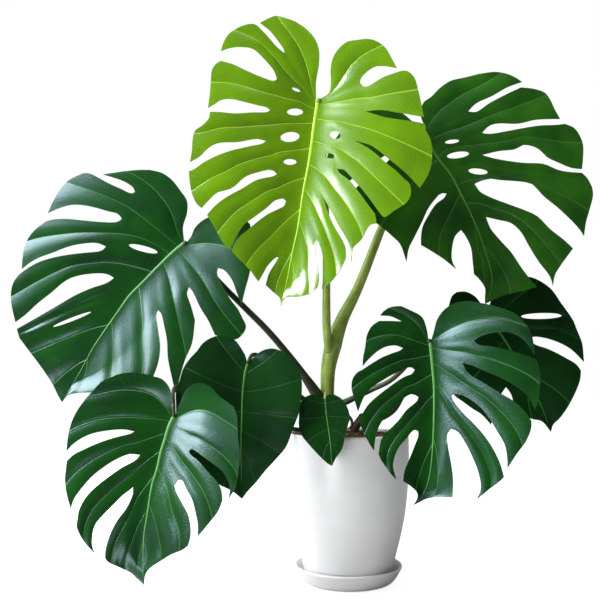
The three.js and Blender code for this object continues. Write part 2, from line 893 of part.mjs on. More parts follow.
function halfBlade(leaf, half, midrib, rib, sheet) {
  const { sinus, margins, cuts, tipFrom } = leaf[half];
  const holed = [...leaf.left.cuts, ...leaf.right.cuts].some((cut) => cut.hole);
  const innerRows = holed ? 2 * NECK_ROWS + HOLE_ROWS : PLAIN_ROWS;
  const rows = innerRows + CUT_ROWS;
  const columns = cuts.length ? LOBE_COLUMNS : 2 * LOBE_COLUMNS;
  const edgeAt = (t) => ribEdge(leaf, half, midrib, t);
  const tipward = midrib.getTangentAt(TIPWARD_AT);
  const roots = [0, ...cuts.map((cut) => cut.root), tipFrom];
  const chain = [];
  let wave = 0;
  margins.forEach((margin, lobe) => {
    const [cutBefore, cutAfter] = [cuts[lobe - 1], cuts[lobe]];
    wave += cutBefore && !cutBefore.rim ? 1 : 0;
    const [start, end] = [roots[lobe], roots[lobe + 1]];
    const cutLines = [
      cutBefore && cutSide(cutBefore, edgeAt(start), 'far', innerRows, tipward),
      cutAfter && cutSide(cutAfter, edgeAt(end), 'near', innerRows, tipward),
    ];
    const spacing = shares(cutLines[0] ?? cutLines[1], rows);
    const sinusLine = smooth([edgeAt(0), ...points(sinus)]);
    const before = cutLines[0] ?? shares(cutLines[1], rows).map((share) => sinusLine.getPointAt(share));
    const after = cutLines[1] ?? spacing.map((share) => edgeAt(end + (1 - end) * share));
    const base = Array.from({ length: columns + 1 }, (_, i) => edgeAt(start + (end - start) * i / columns));
    const outer = evenly([before[rows], ...points(margin), after[rows]], columns);
    const grid = lobeGrid(before, after, base, outer, rows, columns);
    const ids = grid.map((line, i) => line.map((point, j) => {
      const depth = depthOf(leaf, rib, point, wave, i / rows, j / columns);
      const onRib = i === 0 || (!cutAfter && j === columns);
      const t = i === 0 ? start + (end - start) * j / columns : end + (1 - end) * spacing[i];
      const id = sheet.corner(point, depth, onRib ? RIB_DEPTH * (1 - t) : 0);
      if (onRib) {
        chain.push({ t, id });
      }
      return id;
    }));
    addGrid(sheet, grid, ids, half);
  });
  return chain.sort((one, other) => one.t - other.t).filter(({ id }, i, all) => id !== all[i - 1]?.id);
}

// A patch stretched between a lobe's two sides, its stretch of midrib and its margin, then settled
// until each inner point lies midway between its neighbours.
function lobeGrid(before, after, base, outer, rows, columns) {
  const grid = Array.from({ length: rows + 1 }, (_, i) => Array.from({ length: columns + 1 }, (__, j) => {
    const [row, column] = [i / rows, j / columns];
    const across = before[i].clone().lerp(after[i], column);
    const along = base[j].clone().lerp(outer[j], row);
    const near = before[0].clone().lerp(after[0], column);
    const far = before[rows].clone().lerp(after[rows], column);
    return across.add(along).sub(near.lerp(far, row));
  }));
  for (let round = 0; round < SETTLING_ROUNDS; round += 1) {
    for (let i = 1; i < rows; i += 1) {
      for (let j = 1; j < columns; j += 1) {
        settle(grid, i, j);
      }
    }
  }
  return grid;
}

// Moves an inner point of a patch to where the patch's lines run evenly and don't cross.
function settle(grid, i, j) {
  const [up, down, left, right] = [grid[i + 1][j], grid[i - 1][j], grid[i][j - 1], grid[i][j + 1]];
  const alongRow = right.clone().sub(left);
  const alongColumn = up.clone().sub(down);
  const [alpha, gamma] = [alongRow.lengthSq() + LEAST_SPAN, alongColumn.lengthSq() + LEAST_SPAN];
  const beta = alongRow.dot(alongColumn);
  const twist = grid[i + 1][j + 1].clone().sub(grid[i + 1][j - 1])
    .sub(grid[i - 1][j + 1]).add(grid[i - 1][j - 1]);
  const settled = up.clone().add(down).multiplyScalar(alpha)
    .addScaledVector(left.clone().add(right), gamma)
    .addScaledVector(twist, -beta / 2)
    .divideScalar(2 * (alpha + gamma));
  grid[i][j].lerp(settled, SETTLING_SHARE);
}

// Twice the area of a triangle of grid points, positive where it faces the viewpoint.
function facing(a, b, c) {
  return (b.y - a.y) * (c.x - a.x) - (b.x - a.x) * (c.y - a.y);
}

// Adds a patch to the sheet, each of its squares split along the diagonal that leaves the fuller triangles.
function addGrid(sheet, grid, ids, half) {
  const turn = half === 'right' ? 1 : -1;
  for (let i = 0; i + 1 < ids.length; i += 1) {
    for (let j = 0; j + 1 < ids[i].length; j += 1) {
      const square = [[i, j], [i, j + 1], [i + 1, j + 1], [i + 1, j]];
      const splits = [[[0, 1, 2], [0, 2, 3]], [[0, 1, 3], [1, 2, 3]]];
      const fullness = splits.map((split) => Math.min(...split.map((triangle) => {
        const [a, b, c] = triangle.map((corner) => grid[square[corner][0]][square[corner][1]]);
        return turn * facing(a, b, c);
      })));
      const split = splits[fullness[0] >= fullness[1] ? 0 : 1];
      split.forEach((triangle) => {
        const [a, b, c] = triangle.map((corner) => ids[square[corner][0]][square[corner][1]]);
        sheet.face(...(turn > 0 ? [a, b, c] : [a, c, b]));
      });
    }
  }
}

// The strip of the midrib, between the two halves' inner edges.
function joinChains(sheet, left, right) {
  let [i, j] = [0, 0];
  while (i + 1 < left.length || j + 1 < right.length) {
    const leftNext = left[i + 1]?.t ?? Infinity;
    const rightNext = right[j + 1]?.t ?? Infinity;
    if (leftNext <= rightNext) {
      sheet.face(left[i].id, left[i + 1].id, right[j].id);
      i += 1;
    } else {
      sheet.face(left[i].id, right[j + 1].id, right[j].id);
      j += 1;
    }
  }
}

// A round stem along a route, extruded at unit radius and then swelled to the radius of each place.
function stem(route, swell = 0) {
  const path = smooth(route.map(([px, py, depth]) => seen(px, py, depth)));
  const steps = Math.max(FEWEST_STEM_RINGS, Math.round(path.getLength() / STEM_RING_EVERY));
  const section = new THREE.Shape().absarc(0, 0, 1, 0, 2 * Math.PI);
  const settings = { steps, curveSegments: STEM_SIDES / 2, extrudePath: path };
  const geometry = new THREE.ExtrudeGeometry(section, settings);
  const middles = path.getSpacedPoints(steps);
  const position = geometry.attributes.position;
  const place = new THREE.Vector3();
  for (let i = 0; i < position.count; i += 1) {
    place.fromBufferAttribute(position, i);
    const distances = middles.map((middle) => middle.distanceTo(place));
    const ring = distances.indexOf(Math.min(...distances));
    const radius = radiusAt(route, path, ring / steps) + swell;
    place.sub(middles[ring]).multiplyScalar(radius).add(middles[ring]);
    position.setXYZ(i, place.x, place.y, place.z);
  }
  return geometry;
}

// Radius at a share of a route's length, between the radii of the two points beside it.
function radiusAt(route, path, share) {
  const u = path.getUtoTmapping(share) * (route.length - 1);
  const before = Math.min(Math.floor(u), route.length - 2);
  return THREE.MathUtils.lerp(route[before][3], route[before + 1][3], u - before);
}

function turned(profile) {
  const geometry = new THREE.LatheGeometry(profile.map(([r, z]) => new THREE.Vector2(r, z)), RING_SIDES);
  return geometry.rotateX(Math.PI / 2);
}

function outerWall() {
  const side = [[POT_FOOT_RADIUS, SAUCER_FLOOR], ...POT_SIDE, [POT_RIM_RADIUS, POT_STRAIGHT_FROM]];
  return [...side, [POT_RIM_RADIUS, POT_RIM_HEIGHT - 2], [POT_RIM_RADIUS - 2, POT_RIM_HEIGHT]];
}

function innerWall() {
  const floor = SAUCER_FLOOR + POT_FLOOR;
  const side = POT_SIDE.map(([radius, height]) => [radius - POT_WALL, height]);
  return [
    [POT_RIM_RADIUS - POT_WALL + 1.5, POT_RIM_HEIGHT],
    [POT_RIM_RADIUS - POT_WALL, POT_RIM_HEIGHT - 2],
    [POT_RIM_RADIUS - POT_WALL, POT_STRAIGHT_FROM],
    ...side.reverse(),
    [POT_FOOT_RADIUS - POT_WALL, floor],
  ];
}

function makePot() {
  const drain = [[DRAIN_RADIUS, SAUCER_FLOOR + POT_FLOOR], [DRAIN_RADIUS, SAUCER_FLOOR]];
  return turned([...drain, ...outerWall(), ...innerWall(), drain[0]]);
}

function makeSaucer() {
  return turned([
    [0, 0], [SAUCER_BASE_RADIUS, 0], [62.5, 1.2], [67.5, 5], [72, 11], [76, 18], [SAUCER_LIP_RADIUS, 23],
    [78, SAUCER_HEIGHT - 0.6], [76.8, SAUCER_HEIGHT], [75, 23.5], [71.5, 17], [67, 10], [62.5, SAUCER_FLOOR],
    [0, SAUCER_FLOOR],
  ]);
}

function makeSoil(stems) {
  const wall = innerWall().reverse().filter(([, height]) => height < SOIL_TOP);
  const profile = [
    [0, SAUCER_FLOOR + POT_FLOOR + GAP],
    [wall[0][0] - GAP, SAUCER_FLOOR + POT_FLOOR + GAP],
    ...wall.slice(1).filter((_, i) => i % 2 === 1).map(([radius, height]) => [radius - GAP, height]),
    [POT_RIM_RADIUS - POT_WALL - GAP, SOIL_TOP],
    [POT_RIM_RADIUS / 2, SOIL_TOP + 2],
    [0, SOIL_CROWN],
  ];
  return geometryOf(cutBy(solidOf(turned(profile)), stems));
}

const root = new THREE.Group();

function add(name, geometry, look) {
  const mesh = new THREE.Mesh(geometry, new THREE.MeshStandardMaterial({ ...look, metalness: 0 }));
  mesh.name = name;
  root.add(mesh);
}

function makeBlades() {
  for (const leaf of LEAVES) {
    add(`leaf_${leaf.name}`, bladeSheet(leaf).thicken(0), leaf.look);
  }
}

// Each stalk is cut back to the stem that it grows from and to the blade that it carries.
function makeStalks(stemsWithRoom) {
  for (const leaf of LEAVES) {
    const neighbours = [...stemsWithRoom, solidOf(bladeSheet(leaf).thicken(BLADE_ROOM))];
    if (leaf.name !== 'upper_right') {
      neighbours.push(solidOf(stem(STALKS.upper_right, GAP)));
    }
    if (leaf.name !== 'upper_right' && leaf.name !== 'left') {
      neighbours.push(solidOf(stem(STALKS.left, GAP)));
    }
    const stalk = cutBy(solidOf(stem(STALKS[leaf.name])), neighbours);
    add(`stalk_${leaf.name}`, geometryOf(stalk), PALE_STALKS.includes(leaf.name) ? YOUNG_STALK : DARK_STALK);
  }
}

const stemsWithRoom = [MAIN_STEM, SIDE_STEM].map((route) => solidOf(stem(route, GAP)));
add('pot', makePot(), GLAZE);
add('saucer', makeSaucer(), GLAZE);
add('soil', makeSoil(stemsWithRoom), EARTH);
add('stem_main', stem(MAIN_STEM), BARK);
add('stem_side', stem(SIDE_STEM), BARK);
const rootBeds = [...stemsWithRoom, solidOf(stem(STALKS.lower_right, GAP))];
add('root_aerial', geometryOf(cutBy(solidOf(stem(AERIAL_ROOT)), rootBeds)), BARK);
makeBlades();
makeStalks(stemsWithRoom);

export default root;
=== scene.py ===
"""Potted monstera in its finished looks: leaves, stalks, stems, soil, pot and saucer.

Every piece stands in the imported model's own frame, in metres with +Z up. The leaves' outlines are
given on the picture grid of the viewpoint in front of the plant, where the camera stands too.
"""
import logging
import math
import random
from dataclasses import dataclass, field, replace
from enum import Enum

import bmesh
import bpy
import numpy as np
from mathutils import Matrix, Vector, noise


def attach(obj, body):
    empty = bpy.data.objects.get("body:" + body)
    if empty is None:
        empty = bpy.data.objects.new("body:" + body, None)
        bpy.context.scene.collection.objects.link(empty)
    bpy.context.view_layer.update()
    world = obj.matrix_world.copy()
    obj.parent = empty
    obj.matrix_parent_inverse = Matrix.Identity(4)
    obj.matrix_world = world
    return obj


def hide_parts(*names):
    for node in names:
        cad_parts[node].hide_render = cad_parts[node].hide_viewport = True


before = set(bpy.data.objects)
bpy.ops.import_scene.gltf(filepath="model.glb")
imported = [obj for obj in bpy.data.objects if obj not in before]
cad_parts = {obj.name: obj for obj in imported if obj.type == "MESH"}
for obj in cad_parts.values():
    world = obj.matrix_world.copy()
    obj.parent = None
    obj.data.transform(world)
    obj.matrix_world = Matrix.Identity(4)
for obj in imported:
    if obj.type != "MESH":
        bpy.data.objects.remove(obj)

LOG = logging.getLogger("monstera")
BODY = "root"
MM = 0.001

# The viewpoint of the picture grid, in millimetres. A grid step is 1.5 mm at the pot's axis.
EYE = np.array([-70.5, -1200.0, 314.5])
EYE_PITCH = math.radians(4.64)
GRID_MIDDLE = 300.0
GRID_STEP = 1.5
GRID_SLOPE = GRID_STEP / -EYE[1]

# Rows and columns of the coarse cage of a lobe, as in the solids, and how much finer the blade is
NECK_ROWS = 1
HOLE_ROWS = 3
PLAIN_ROWS = 3
CUT_ROWS = 4
CAGE_COLUMNS = 4
FINER_ROWS = 5
FINER_COLUMNS = 6
CAGE_ROUNDS = 60
FINE_ROUNDS = 30
SETTLING_SHARE = 0.5
LEAST_SPAN = 1e-6

# Shape of a blade in depth, in millimetres
DROOP = 0.0011
VALLEY = 12.0
TIP_ARCH = 0.00018
QUILT = 0.6
QUILT_FROM = 40.0
LOBE_WAVE = 4.0
LOBE_TURN = 2.4
CUT_START = 0.5
TIPWARD_AT = 0.4
VEIN_CREASE = 0.9
VEIN_CREASE_WIDTH = 0.05
QUILTED_WIDTH = 42.0
BLADE_THICKNESS = 1.0
RIB_DEPTH = 2.4
RIB_TAPER = 1.0
RIB_SHOW = 0.72

# Millimetres to one unit of a blade's map, and the part of the map that a lobe without a vein has
MAP_UNIT = 60.0
VEINLESS_START = 0.15
VEINLESS_REACH = 0.3

# Corners nearer to each other than this are one, in millimetres
TURNED_MERGE = 0.01
BLADE_MERGE = 0.02

WHITE = "#ffffff"


class Slot(Enum):
    """Material slots of the record."""

    GLAZE = "glaze"
    EARTH = "earth"
    BARK = "bark"
    YOUNG_LEAF = "young_leaf"
    DARK_LEAF = "dark_leaf"
    PALE_STALK = "pale_stalk"
    DARK_STALK = "dark_stalk"


def linear(colour: str) -> tuple[float, float, float, float]:
    """Turns an sRGB hex colour to the linear values that the shaders take.

    Args:
        colour: Such as "#2c5a30".

    Returns:
        Red, green, blue and an alpha of 1.
    """
    parts = [int(colour[i:i + 2], 16) / 255 for i in (1, 3, 5)]
    return tuple(p / 12.92 if p <= 0.04045 else ((p + 0.055) / 1.055) ** 2.4 for p in parts) + (1.0,)


def add_node(tree: bpy.types.NodeTree, kind: str, inputs: dict | None = None, **settings) -> bpy.types.Node:
    """Adds a shader node with its settings and links.

    Args:
        tree: The material's node tree.
        kind: The node's type after "ShaderNode", such as "Math".
        inputs: Value or output socket for each input, by name or number.
        settings: The node's own properties.

    Returns:
        The new node.
    """
    node = tree.nodes.new("ShaderNode" + kind)
    for name, value in settings.items():
        setattr(node, name, value)
    for key, value in (inputs or {}).items():
        if isinstance(value, bpy.types.NodeSocket):
            tree.links.new(value, node.inputs[key])
        else:
            node.inputs[key].default_value = value
    return node


def new_material(name: str) -> tuple[bpy.types.Material, bpy.types.NodeTree]:
    """Makes an empty node material.

    Args:
        name: What the finish is.

    Returns:
        The material and its node tree.
    """
    material = bpy.data.materials.new(name)
    material.use_nodes = True
    material.node_tree.nodes.clear()
    return material, material.node_tree


def finish_material(tree: bpy.types.NodeTree, inputs: dict) -> None:
    """Ends a material in one Principled shader with the given inputs."""
    shader = add_node(tree, "BsdfPrincipled", inputs)
    add_node(tree, "OutputMaterial", {"Surface": shader.outputs["BSDF"]})


@dataclass(frozen=True)
class LeafFinish:
    """A leaf's waxy skin over its veins.

    The real one is a smooth cuticle on soft tissue, so it shows a broad satin sheen, pale veins that
    lie in shallow creases, and a paler, duller underside. The veins' sizes are in units of the blade's
    map, the scales of the other patterns are how many there are to a metre, and relief is in metres.
    """

    name: str
    blade: str
    deep: str
    vein: str
    side_vein: str
    rib: str
    underside: str
    roughness: float
    coat: float
    vein_strength: float = 0.8
    sheen: float = 1.45
    # Tint of the reflections, painted in the bluish colour of the reflected light
    painted_sheen_tint: str = "#bcdcf2"
    vein_core: float = 0.004
    vein_edge: float = 0.022
    vein_run: float = 2.4
    vein_fade: float = 0.6
    side_slant: float = 1.3
    side_waver: float = 0.16
    side_count: float = 6.5
    side_show: float = 0.12
    waver_scale: float = 28.0
    cloud_scale: float = 16.0
    net_scale: float = 240.0
    relief: float = 0.0006
    under_dulling: float = 0.25
    coat_roughness: float = 0.16
    rib_roughness: float = 0.42
    rib_relief: float = 0.0004

    def blade_material(self) -> bpy.types.Material:
        """Builds the blade's material, with veins on the blade's own map.

        Returns:
            The material.
        """
        material, tree = new_material(self.name)
        place = add_node(tree, "UVMap", uv_map="Veins").outputs["UV"]
        parts = add_node(tree, "SeparateXYZ", {0: place}).outputs
        under = add_node(tree, "Attribute", attribute_name="underside").outputs["Fac"]
        body = add_node(tree, "TexCoord").outputs["Object"]
        side = add_node(tree, "Math", {0: parts[0]}, operation="ABSOLUTE").outputs[0]

        # Main vein of each lobe: about 1.6 mm wide in a lobe 60 mm wide, fainter towards the margin
        main = add_node(tree, "MapRange", {0: side, 1: self.vein_core, 2: self.vein_edge, 3: 1.0, 4: 0.0},
                        interpolation_type="SMOOTHSTEP").outputs[0]
        fade = add_node(tree, "MapRange", {0: parts[1], 1: 0.0, 2: self.vein_run, 3: self.vein_strength,
                                           4: self.vein_strength * self.vein_fade}).outputs[0]
        # Side veins leave it at a slant every 9 mm or so: one map unit is 60 mm
        slant = add_node(tree, "Math", {0: side, 1: -self.side_slant, 2: parts[1]},
                         operation="MULTIPLY_ADD").outputs[0]
        waver = add_node(tree, "TexNoise", {"Vector": body, "Scale": self.waver_scale,
                                            "Detail": 1.0}).outputs[0]
        phase = add_node(tree, "Math", {0: waver, 1: self.side_waver, 2: slant},
                         operation="MULTIPLY_ADD").outputs[0]
        count = add_node(tree, "Math", {0: phase, 1: self.side_count}, operation="MULTIPLY").outputs[0]
        beat = add_node(tree, "Math", {0: count, 1: 0.5}, operation="PINGPONG").outputs[0]
        lateral = add_node(tree, "MapRange", {0: beat, 1: 0.02, 2: 0.11, 3: 1.0, 4: 0.0},
                           interpolation_type="SMOOTHSTEP").outputs[0]
        # Net of the finest veins, drawn at 4 mm so that it shows
        net = add_node(tree, "TexVoronoi", {"Vector": body, "Scale": self.net_scale},
                       feature="DISTANCE_TO_EDGE").outputs[0]

        # Clouds of darker green about 60 mm across
        cloud = add_node(tree, "TexNoise", {"Vector": body, "Scale": self.cloud_scale,
                                            "Detail": 3.0}).outputs[0]
        patch = add_node(tree, "MapRange", {0: cloud, 1: 0.35, 2: 0.68}).outputs[0]
        skin = add_node(tree, "Mix", {0: patch, 6: linear(self.blade), 7: linear(self.deep)},
                        data_type="RGBA").outputs[2]
        faint = add_node(tree, "Math", {0: lateral, 1: self.side_show}, operation="MULTIPLY").outputs[0]
        skin = add_node(tree, "Mix", {0: faint, 6: skin, 7: linear(self.side_vein)},
                        data_type="RGBA").outputs[2]
        strong = add_node(tree, "Math", {0: main, 1: fade}, operation="MULTIPLY").outputs[0]
        skin = add_node(tree, "Mix", {0: strong, 6: skin, 7: linear(self.vein)}, data_type="RGBA").outputs[2]
        skin = add_node(tree, "Mix", {0: under, 6: skin, 7: linear(self.underside)},
                        data_type="RGBA").outputs[2]

        # The main veins and the net lie in creases
        height = add_node(tree, "Math", {0: net, 1: 0.5, 2: cloud}, operation="MULTIPLY_ADD").outputs[0]
        height = add_node(tree, "Math", {0: main, 1: -0.8, 2: height}, operation="MULTIPLY_ADD").outputs[0]
        relief = add_node(tree, "Bump", {"Height": height, "Strength": 0.5,
                                         "Distance": self.relief}).outputs[0]
        gloss = add_node(tree, "MapRange", {0: cloud, 3: self.roughness - 0.05,
                                            4: self.roughness + 0.08}).outputs[0]
        gloss = add_node(tree, "Math", {0: under, 1: self.under_dulling, 2: gloss},
                         operation="MULTIPLY_ADD").outputs[0]
        # The specular tint paints the reflections in the colour of the light
        finish_material(tree, {"Base Color": skin, "Roughness": gloss, "Normal": relief, "IOR": self.sheen,
                               "Specular Tint": linear(self.painted_sheen_tint), "Coat Weight": self.coat,
                               "Coat Roughness": self.coat_roughness})
        return material

    def rib_material(self) -> bpy.types.Material:
        """Builds the midrib's paler and duller material.

        Returns:
            The material.
        """
        material, tree = new_material(self.name + " midrib")
        body = add_node(tree, "TexCoord").outputs["Object"]
        streak = add_node(tree, "TexNoise", {"Vector": body, "Scale": 60.0, "Detail": 2.0}).outputs[0]
        skin = add_node(tree, "Mix", {0: streak, 6: linear(self.rib), 7: linear(self.vein)},
                        data_type="RGBA").outputs[2]
        relief = add_node(tree, "Bump", {"Height": streak, "Strength": 0.3,
                                         "Distance": self.rib_relief}).outputs[0]
        finish_material(tree, {"Base Color": skin, "Roughness": self.rib_roughness, "Normal": relief,
                               "IOR": 1.45})
        return material


@dataclass(frozen=True)
class StalkFinish:
    """A stalk's or stem's skin, grown in fibres that run along it.

    It shows long streaks on the piece's own map, and a soft sheen that is duller on the old bark.
    """

    name: str
    skin: str
    streak: str
    roughness: float
    relief: float

    def material(self) -> bpy.types.Material:
        """Builds the material; the map runs 0 to 1 round the stalk and in metres along it.

        Returns:
            The material.
        """
        material, tree = new_material(self.name)
        place = add_node(tree, "UVMap", uv_map="Veins").outputs["UV"]
        body = add_node(tree, "TexCoord").outputs["Object"]
        # Fibres about 1 mm wide and 25 mm long
        drawn = add_node(tree, "Mapping", {"Vector": place, "Scale": (14.0, 40.0, 1.0)}).outputs[0]
        fibres = add_node(tree, "TexNoise", {"Vector": drawn, "Scale": 1.0, "Detail": 3.0}).outputs[0]
        cloud = add_node(tree, "TexNoise", {"Vector": body, "Scale": 45.0, "Detail": 3.0}).outputs[0]
        blend = add_node(tree, "Math", {0: fibres, 1: cloud}, operation="MULTIPLY").outputs[0]
        blend = add_node(tree, "MapRange", {0: blend, 1: 0.15, 2: 0.4}).outputs[0]
        skin = add_node(tree, "Mix", {0: blend, 6: linear(self.skin), 7: linear(self.streak)},
                        data_type="RGBA").outputs[2]
        relief = add_node(tree, "Bump", {"Height": fibres, "Strength": 0.5,
                                         "Distance": self.relief}).outputs[0]
        gloss = add_node(tree, "MapRange", {0: cloud, 3: self.roughness - 0.06,
                                            4: self.roughness + 0.08}).outputs[0]
        finish_material(tree, {"Base Color": skin, "Roughness": gloss, "Normal": relief, "IOR": 1.45})
        return material


@dataclass(frozen=True)
class GlazeFinish:
    """White glazed stoneware: dipped and fired, so it is smooth and shiny with a faint slow ripple."""

    name: str = "glazed stoneware"
    glaze: str = "#f0f0f0"
    pooled: str = "#e5e4e3"
    ripple_scale: float = 33.0
    roughness: tuple[float, float] = (0.28, 0.36)
    relief: float = 0.0006
    coat: float = 0.3
    coat_roughness: float = 0.2

    def material(self) -> bpy.types.Material:
        """Builds the material, with the glaze a little thicker here and there.

        Returns:
            The material.
        """
        material, tree = new_material(self.name)
        body = add_node(tree, "TexCoord").outputs["Object"]
        # The glaze ripples over about 30 mm
        ripple = add_node(tree, "TexNoise", {"Vector": body, "Scale": self.ripple_scale,
                                             "Detail": 1.0}).outputs[0]
        skin = add_node(tree, "Mix", {0: ripple, 6: linear(self.glaze), 7: linear(self.pooled)},
                        data_type="RGBA").outputs[2]
        relief = add_node(tree, "Bump", {"Height": ripple, "Strength": 0.12,
                                         "Distance": self.relief}).outputs[0]
        gloss = add_node(tree, "MapRange", {0: ripple, 3: self.roughness[0],
                                            4: self.roughness[1]}).outputs[0]
        finish_material(tree, {"Base Color": skin, "Roughness": gloss, "Normal": relief, "IOR": 1.52,
                               "Coat Weight": self.coat, "Coat Roughness": self.coat_roughness})
        return material


@dataclass(frozen=True)
class EarthFinish:
    """Potting soil or bark chips: dry, crumbly and dull, in browns that differ from crumb to crumb."""

    name: str
    dark: str
    light: str
    grain: float
    roughness: float = 0.93
    relief: float = 0.0015

    def material(self) -> bpy.types.Material:
        """Builds the material, with crumbs of the grain's size in metres.

        Returns:
            The material.
        """
        material, tree = new_material(self.name)
        body = add_node(tree, "TexCoord").outputs["Object"]
        crumbs = add_node(tree, "TexNoise", {"Vector": body, "Scale": 1 / self.grain, "Detail": 6.0,
                                             "Roughness": 0.7}).outputs[0]
        island = add_node(tree, "NewGeometry").outputs["Random Per Island"]
        tone = add_node(tree, "Math", {0: island, 1: 0.6, 2: crumbs}, operation="MULTIPLY_ADD").outputs[0]
        tone = add_node(tree, "MapRange", {0: tone, 1: 0.35, 2: 1.1}).outputs[0]
        skin = add_node(tree, "Mix", {0: tone, 6: linear(self.dark), 7: linear(self.light)},
                        data_type="RGBA").outputs[2]
        relief = add_node(tree, "Bump", {"Height": crumbs, "Strength": 0.8,
                                         "Distance": self.relief}).outputs[0]
        finish_material(tree, {"Base Color": skin, "Roughness": self.roughness, "Normal": relief,
                               "IOR": 1.4})
        return material


# A blade a few weeks old is thin, lime green and glossy, with a white sheen
YOUNG_BLADE = LeafFinish(
    "young leaf cuticle", blade="#618c04", deep="#507802", vein="#a4cc30", side_vein="#82b414", rib="#aad430",
    underside="#86ac38", roughness=0.2, coat=0.5, sheen=1.5, painted_sheen_tint=WHITE)
# A grown blade is deep green; its reflections get a bluish tint, a painted colour of the reflected light
DARK_BLADE = LeafFinish(
    "grown leaf cuticle", blade="#103f0b", deep="#072a04", vein="#44803a", side_vein="#1b521a", rib="#478a36",
    underside="#41683a", roughness=0.24, coat=0.2, vein_strength=0.7)
# The blade in the light is painted a lighter, yellower green, as painted light, and is duller
SUNLIT_BLADE = LeafFinish(
    "leaf cuticle with painted light", blade="#2c6210", deep="#184509", vein="#4f8630", side_vein="#306820", rib="#528a30",
    underside="#41683a", roughness=0.3, coat=0.15, vein_strength=0.6)
# The first, heart-shaped blades are dark and nearly matte, with faint veins
HEART_BLADE = LeafFinish(
    "first leaf cuticle", blade="#0d3606", deep="#062602", vein="#357028", side_vein="#1b521a", rib="#40822e",
    underside="#41683a", roughness=0.34, coat=0.05, vein_strength=0.3, sheen=1.38)
SHADED_BLADE = replace(HEART_BLADE, name="shaded leaf cuticle", vein_strength=0.6)
# Stalks of the top, upper right and small leaves get the pale skin, the others the dark one
PALE_SKIN = StalkFinish("pale petiole skin", skin="#a0b654", streak="#7c943e", roughness=0.38,
                        relief=0.0004)
DARK_SKIN = StalkFinish("dark petiole skin", skin="#2c3818", streak="#20270f", roughness=0.5,
                        relief=0.0004)
STEM_SKIN = StalkFinish("corky stem bark", skin="#4e4026", streak="#33271a", roughness=0.75,
                        relief=0.0012)
GLAZE = GlazeFinish()
SOIL_EARTH = EarthFinish("potting soil", dark="#1d130c", light="#4a3526", grain=0.006)
BARK_CHIPS = EarthFinish("pine bark chips", dark="#2c1c11", light="#6b4a30", grain=0.004)


def grid_points(text: str) -> np.ndarray:
    """Turns text such as "318,99 314,126" to an array of picture grid points."""
    return np.array([[float(value) for value in pair.split(",")] for pair in text.split()])


def seen(places: np.ndarray, depth: np.ndarray) -> np.ndarray:
    """Carries picture grid points along their lines of sight.

    Args:
        places: Grid points, in the last axis.
        depth: How far behind the pot's axis each one lies, in millimetres.

    Returns:
        Points of the frame, in millimetres.
    """
    across = (places[..., 0] - GRID_MIDDLE) * GRID_SLOPE
    up = (GRID_MIDDLE - places[..., 1]) * GRID_SLOPE
    sine, cosine = math.sin(EYE_PITCH), math.cos(EYE_PITCH)
    sight = np.stack([across, cosine - up * sine, sine + up * cosine], axis=-1)
    return EYE + sight * ((depth - EYE[1]) / sight[..., 1])[..., None]


class Line:
    """A smooth line through control points, read by share of its length."""

    samples = 48
    tangent_reach = 0.004

    def __init__(self, control: np.ndarray) -> None:
        """Lays a centripetal Catmull-Rom curve through the control points.

        Args:
            control: Points in any number of dimensions.
        """
        padded = np.vstack([2 * control[0] - control[1], control, 2 * control[-1] - control[-2]])
        weight = np.arange(self.samples)[:, None] / self.samples
        spans = [self._span(padded[i:i + 4], weight) for i in range(len(control) - 1)]
        self.places = np.vstack([*spans, control[-1:]])
        steps = np.linalg.norm(np.diff(self.places, axis=0), axis=1)
        self.lengths = np.concatenate([[0.0], np.cumsum(steps)])
        self.length = self.lengths[-1]
        self.turns = np.linspace(0, len(control) - 1, len(self.places))

    @staticmethod
    def _span(points: np.ndarray, weight: np.ndarray) -> np.ndarray:
        """Runs the curve from the second to the third of four points.

        Args:
            points: The four points.
            weight: How far along the span each point of the curve lies, as a column.

        Returns:
            Points of the curve.
        """
        gaps = np.maximum(np.linalg.norm(np.diff(points, axis=0), axis=1), LEAST_SPAN) ** 0.5
        first, start, end, last = points
        leave = (start - first) / gaps[0] - (end - first) / (gaps[0] + gaps[1]) + (end - start) / gaps[1]
        reach = (end - start) / gaps[1] - (last - start) / (gaps[1] + gaps[2]) + (last - end) / gaps[2]
        leave, reach = leave * gaps[1], reach * gaps[1]
        square = 3 * (end - start) - 2 * leave - reach
        cube = 2 * (start - end) + leave + reach
        return start + leave * weight + square * weight ** 2 + cube * weight ** 3

    def at(self, shares: np.ndarray) -> np.ndarray:
        """Points at shares of the line's length."""
        distance = np.clip(shares, 0, 1) * self.length
        return np.stack([np.interp(distance, self.lengths, axis) for axis in self.places.T], axis=-1)

    def evenly(self, steps: int) -> np.ndarray:
        """Points at even steps from end to end."""
        return self.at(np.linspace(0, 1, steps + 1))

    def tangent(self, shares: np.ndarray) -> np.ndarray:
        """Finds the line's directions.

        Args:
            shares: Shares of the line's length.

        Returns:
            Unit directions there.
        """
        reach = self.tangent_reach
        ahead = self.at(np.minimum(shares + reach, 1)) - self.at(np.maximum(shares - reach, 0))
        return ahead / np.linalg.norm(ahead, axis=-1, keepdims=True)

    def reading(self, values: np.ndarray, shares: np.ndarray) -> np.ndarray:
        """Values given at the control points, read at shares of the line's length."""
        turn = np.interp(np.clip(shares, 0, 1) * self.length, self.lengths, self.turns)
        return np.interp(turn, np.arange(len(values)), values)


